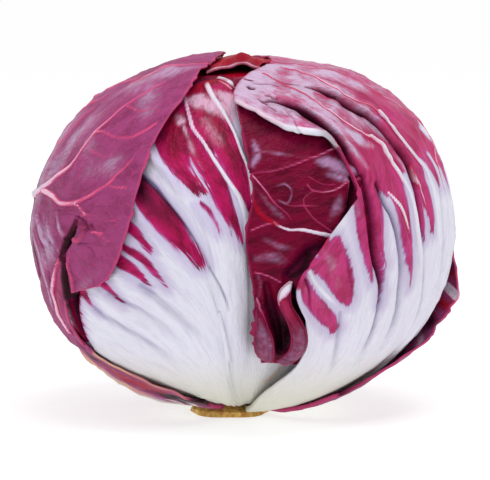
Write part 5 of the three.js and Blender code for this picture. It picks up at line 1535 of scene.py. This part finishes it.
def heart_piece():
    bpy.ops.object.select_all(action="DESELECT")
    bpy.ops.mesh.primitive_uv_sphere_add(segments=128, ring_count=72, radius=1)
    piece = bpy.context.object
    piece.name = "heart_core"
    mesh = piece.data
    flat = np.empty(len(mesh.vertices) * 3)
    mesh.vertices.foreach_get("co", flat)
    unit = unit_of(flat.reshape(-1, 3))
    azimuth, elevation = angles_of(unit)
    turn = azimuth / LAP_DEGREES + elevation / LAP_CLIMB + 1
    lap = LAP_HEIGHT * (turn - np.floor(turn)) * np.cos(np.radians(elevation))
    under_crown = ease((unit[:, 2] - BULGE_FROM) / BULGE_RUN)
    radius = outline(unit) - HEART_DEPTH + CROWN_BULGE * under_crown + lap + 0.3 * noise(unit * 50, 5.0)
    mesh.vertices.foreach_set("co", ((unit * radius[:, None] + HEAD_CENTRE) * MM).ravel())
    fields = {key: 0 * azimuth for key in ("fray", "rim", *PAINTS)}
    # Away from the crown the core is painted a little dark as shade; under the crown it is bright red.
    red = {"stain": 0 * azimuth + ALL_RED, "shade": 0.2 * (1 - under_crown), "flush": 0.9 * under_crown}
    fields.update(red)
    grain = np.stack([azimuth * GRAIN_PER_DEGREE, elevation * GRAIN_PER_DEGREE, 0 * azimuth], axis=1)
    keep_paints(mesh, fields, grain)
    bpy.ops.object.shade_smooth()
    mesh.materials.append(crimson_leaf)
    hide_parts("heart")
    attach(piece, "root")
    print("heart, mm across:", [round(side / MM) for side in piece.dimensions])


heart_piece()

# %% [markdown]
# ## The cut stem
# Where the head was cut from its root the flesh dries yellow-brown, matt and fibrous. The stub is a
# short cylinder, cut into levels by bisect so that it can narrow upwards into the leaves, and then
# made a little uneven all round. Its fibres run up it, so its noise is drawn out along Z.

# %% Stem
STEM_RADIUS, STEM_HEIGHT = 11, 7.5  # mm
STEM_LEVELS = (1.5, 3.4)
NECK_FROM, NECK_SHARE = 2, 0.66  # mm up, and the neck's radius as a share of the stem's
STEM_WOBBLE, STEM_LOBES = 0.05, 5  # share of the radius, and bulges round the stem
SHARP_ANGLE = 35  # degrees
FIBRES = 900.0  # a metre, so that one is about a millimetre across


def stem_material():
    made = bare_material("dried_cut_stem")
    tree = made.node_tree
    place = add_node(tree, "TexCoord", output="Object")
    spread = add_node(tree, "Mapping", {"Vector": place, "Scale": (1, 1, 0.3)})
    fibre = add_node(tree, "TexNoise", {"Vector": spread, "Scale": FIBRES, "Detail": 4.0})
    share = add_node(tree, "MapRange", (fibre, 0.35, 0.65))
    colours = {0: share, 6: linear("#a9702c"), 7: linear("#dcbb62")}
    colour = add_node(tree, "Mix", colours, 2, data_type="RGBA")
    normal = add_node(tree, "Bump", {"Height": fibre, "Strength": 0.6, "Distance": 0.4 * MM})
    shader = add_node(tree, "BsdfPrincipled", {"Base Color": colour, "Roughness": 0.75, "Normal": normal})
    add_node(tree, "OutputMaterial", {"Surface": shader})
    return made


def stem_piece():
    bpy.ops.object.select_all(action="DESELECT")
    bpy.ops.mesh.primitive_cylinder_add(
        vertices=96, radius=STEM_RADIUS * MM, depth=STEM_HEIGHT * MM, location=(0, 0, STEM_HEIGHT / 2 * MM))
    piece = bpy.context.object
    piece.name = "stem_stub"
    bpy.ops.object.transform_apply(location=True, rotation=False, scale=False)
    bpy.ops.object.mode_set(mode="EDIT")
    for level in STEM_LEVELS:
        bpy.ops.mesh.select_all(action="SELECT")
        bpy.ops.mesh.bisect(plane_co=(0, 0, level * MM), plane_no=(0, 0, 1))
    bpy.ops.object.mode_set(mode="OBJECT")
    for vertex in piece.data.vertices:
        z = vertex.co.z / MM
        shrink = 1.0 if z < NECK_FROM else NECK_SHARE
        wobble = 1 + STEM_WOBBLE * math.sin(STEM_LOBES * math.atan2(vertex.co.y, vertex.co.x) + z)
        vertex.co.x *= shrink * wobble
        vertex.co.y *= shrink * wobble
    bpy.ops.object.shade_smooth_by_angle(angle=math.radians(SHARP_ANGLE))
    piece.data.materials.append(stem_material())
    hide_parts("stem")
    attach(piece, "root")
    print("stem, mm across:", [round(side / MM, 1) for side in piece.dimensions])


stem_piece()

# %% [markdown]
# ## Studio
# Vegetables are often shown on a sheet of white acrylic that is lit from below as well, so that
# shadows stay faint. The floor is such a sheet: it glows a little. The room is soft and bright, and
# one broad light from above and one from the left give the leaves their shape. The camera looks
# down by a few degrees from 0.7 m, as one does at a vegetable on a table.

# %% Floor and room
FLOOR_SIZE = 80  # m, so that its far edge is never seen
FLOOR_GLOW, ROOM_GLOW = 0.66, 0.72
bpy.ops.object.select_all(action="DESELECT")
bpy.ops.mesh.primitive_plane_add(size=FLOOR_SIZE, location=(0, 0, 0))
floor = bpy.context.object
floor.name = "table"
acrylic = bpy.data.materials.new("lit_white_acrylic")
acrylic.use_nodes = True
acrylic_shader = acrylic.node_tree.nodes["Principled BSDF"]
acrylic_shader.inputs["Base Color"].default_value = linear("#b4b4b4")
acrylic_shader.inputs["Roughness"].default_value = 0.7
acrylic_shader.inputs["Specular IOR Level"].default_value = 0.0
acrylic_shader.inputs["Emission Color"].default_value = linear("#ffffff")
acrylic_shader.inputs["Emission Strength"].default_value = FLOOR_GLOW
floor.data.materials.append(acrylic)

world = bpy.data.worlds.new("bright_room")
world.use_nodes = True
room = world.node_tree.nodes["Background"]
room.inputs["Color"].default_value = (1, 1, 1, 1)
room.inputs["Strength"].default_value = ROOM_GLOW
bpy.context.scene.world = world
print("floor glow:", FLOOR_GLOW, "room glow:", ROOM_GLOW)

# %% Lights
LIGHTS_AIM = (0, 0, 0.05)  # m, the head's middle


def soft_light(name, place, size, watts):
    """A square light of so many metres and watts, turned towards the head."""
    light = bpy.data.lights.new(name, "AREA")
    light.shape = "SQUARE"
    light.size = size
    light.energy = watts
    lamp = bpy.data.objects.new(name, light)
    bpy.context.scene.collection.objects.link(lamp)
    lamp.location = place
    away = np.array(LIGHTS_AIM) - np.array(place)
    tilt = math.acos(-away[2] / np.linalg.norm(away))
    lamp.rotation_euler = (tilt, 0, math.atan2(away[1], away[0]) - math.pi / 2)
    print(name, "watts:", watts)


soft_light("top_light", place=(0.15, -0.2, 0.9), size=0.6, watts=4.5)
soft_light("left_light", place=(-0.7, -0.7, 0.45), size=0.4, watts=1.2)

# %% Camera
VIEW_DOWN = math.radians(6)
CAMERA_DISTANCE = 700
MM_ACROSS_PICTURE = 137.2
SENSOR = 36
AIM_RIGHT, AIM_DOWN = 0.84, 2.46  # mm from the head's centre
ahead = np.array([0, math.cos(VIEW_DOWN), -math.sin(VIEW_DOWN)])
upwards = np.array([0, math.sin(VIEW_DOWN), math.cos(VIEW_DOWN)])
target = HEAD_CENTRE + np.array([AIM_RIGHT, 0, 0]) - AIM_DOWN * upwards
camera_data = bpy.data.cameras.new("studio_camera")
camera_data.sensor_width = SENSOR
camera_data.lens = SENSOR * CAMERA_DISTANCE / MM_ACROSS_PICTURE
camera_data.clip_start = 0.05
camera = bpy.data.objects.new("studio_camera", camera_data)
bpy.context.scene.collection.objects.link(camera)
camera.location = (target - CAMERA_DISTANCE * ahead) * MM
camera.rotation_euler = (math.pi / 2 - VIEW_DOWN, 0, 0)
bpy.context.scene.camera = camera
bpy.context.scene.view_settings.view_transform = "Standard"
print("lens:", round(camera_data.lens), "mm")
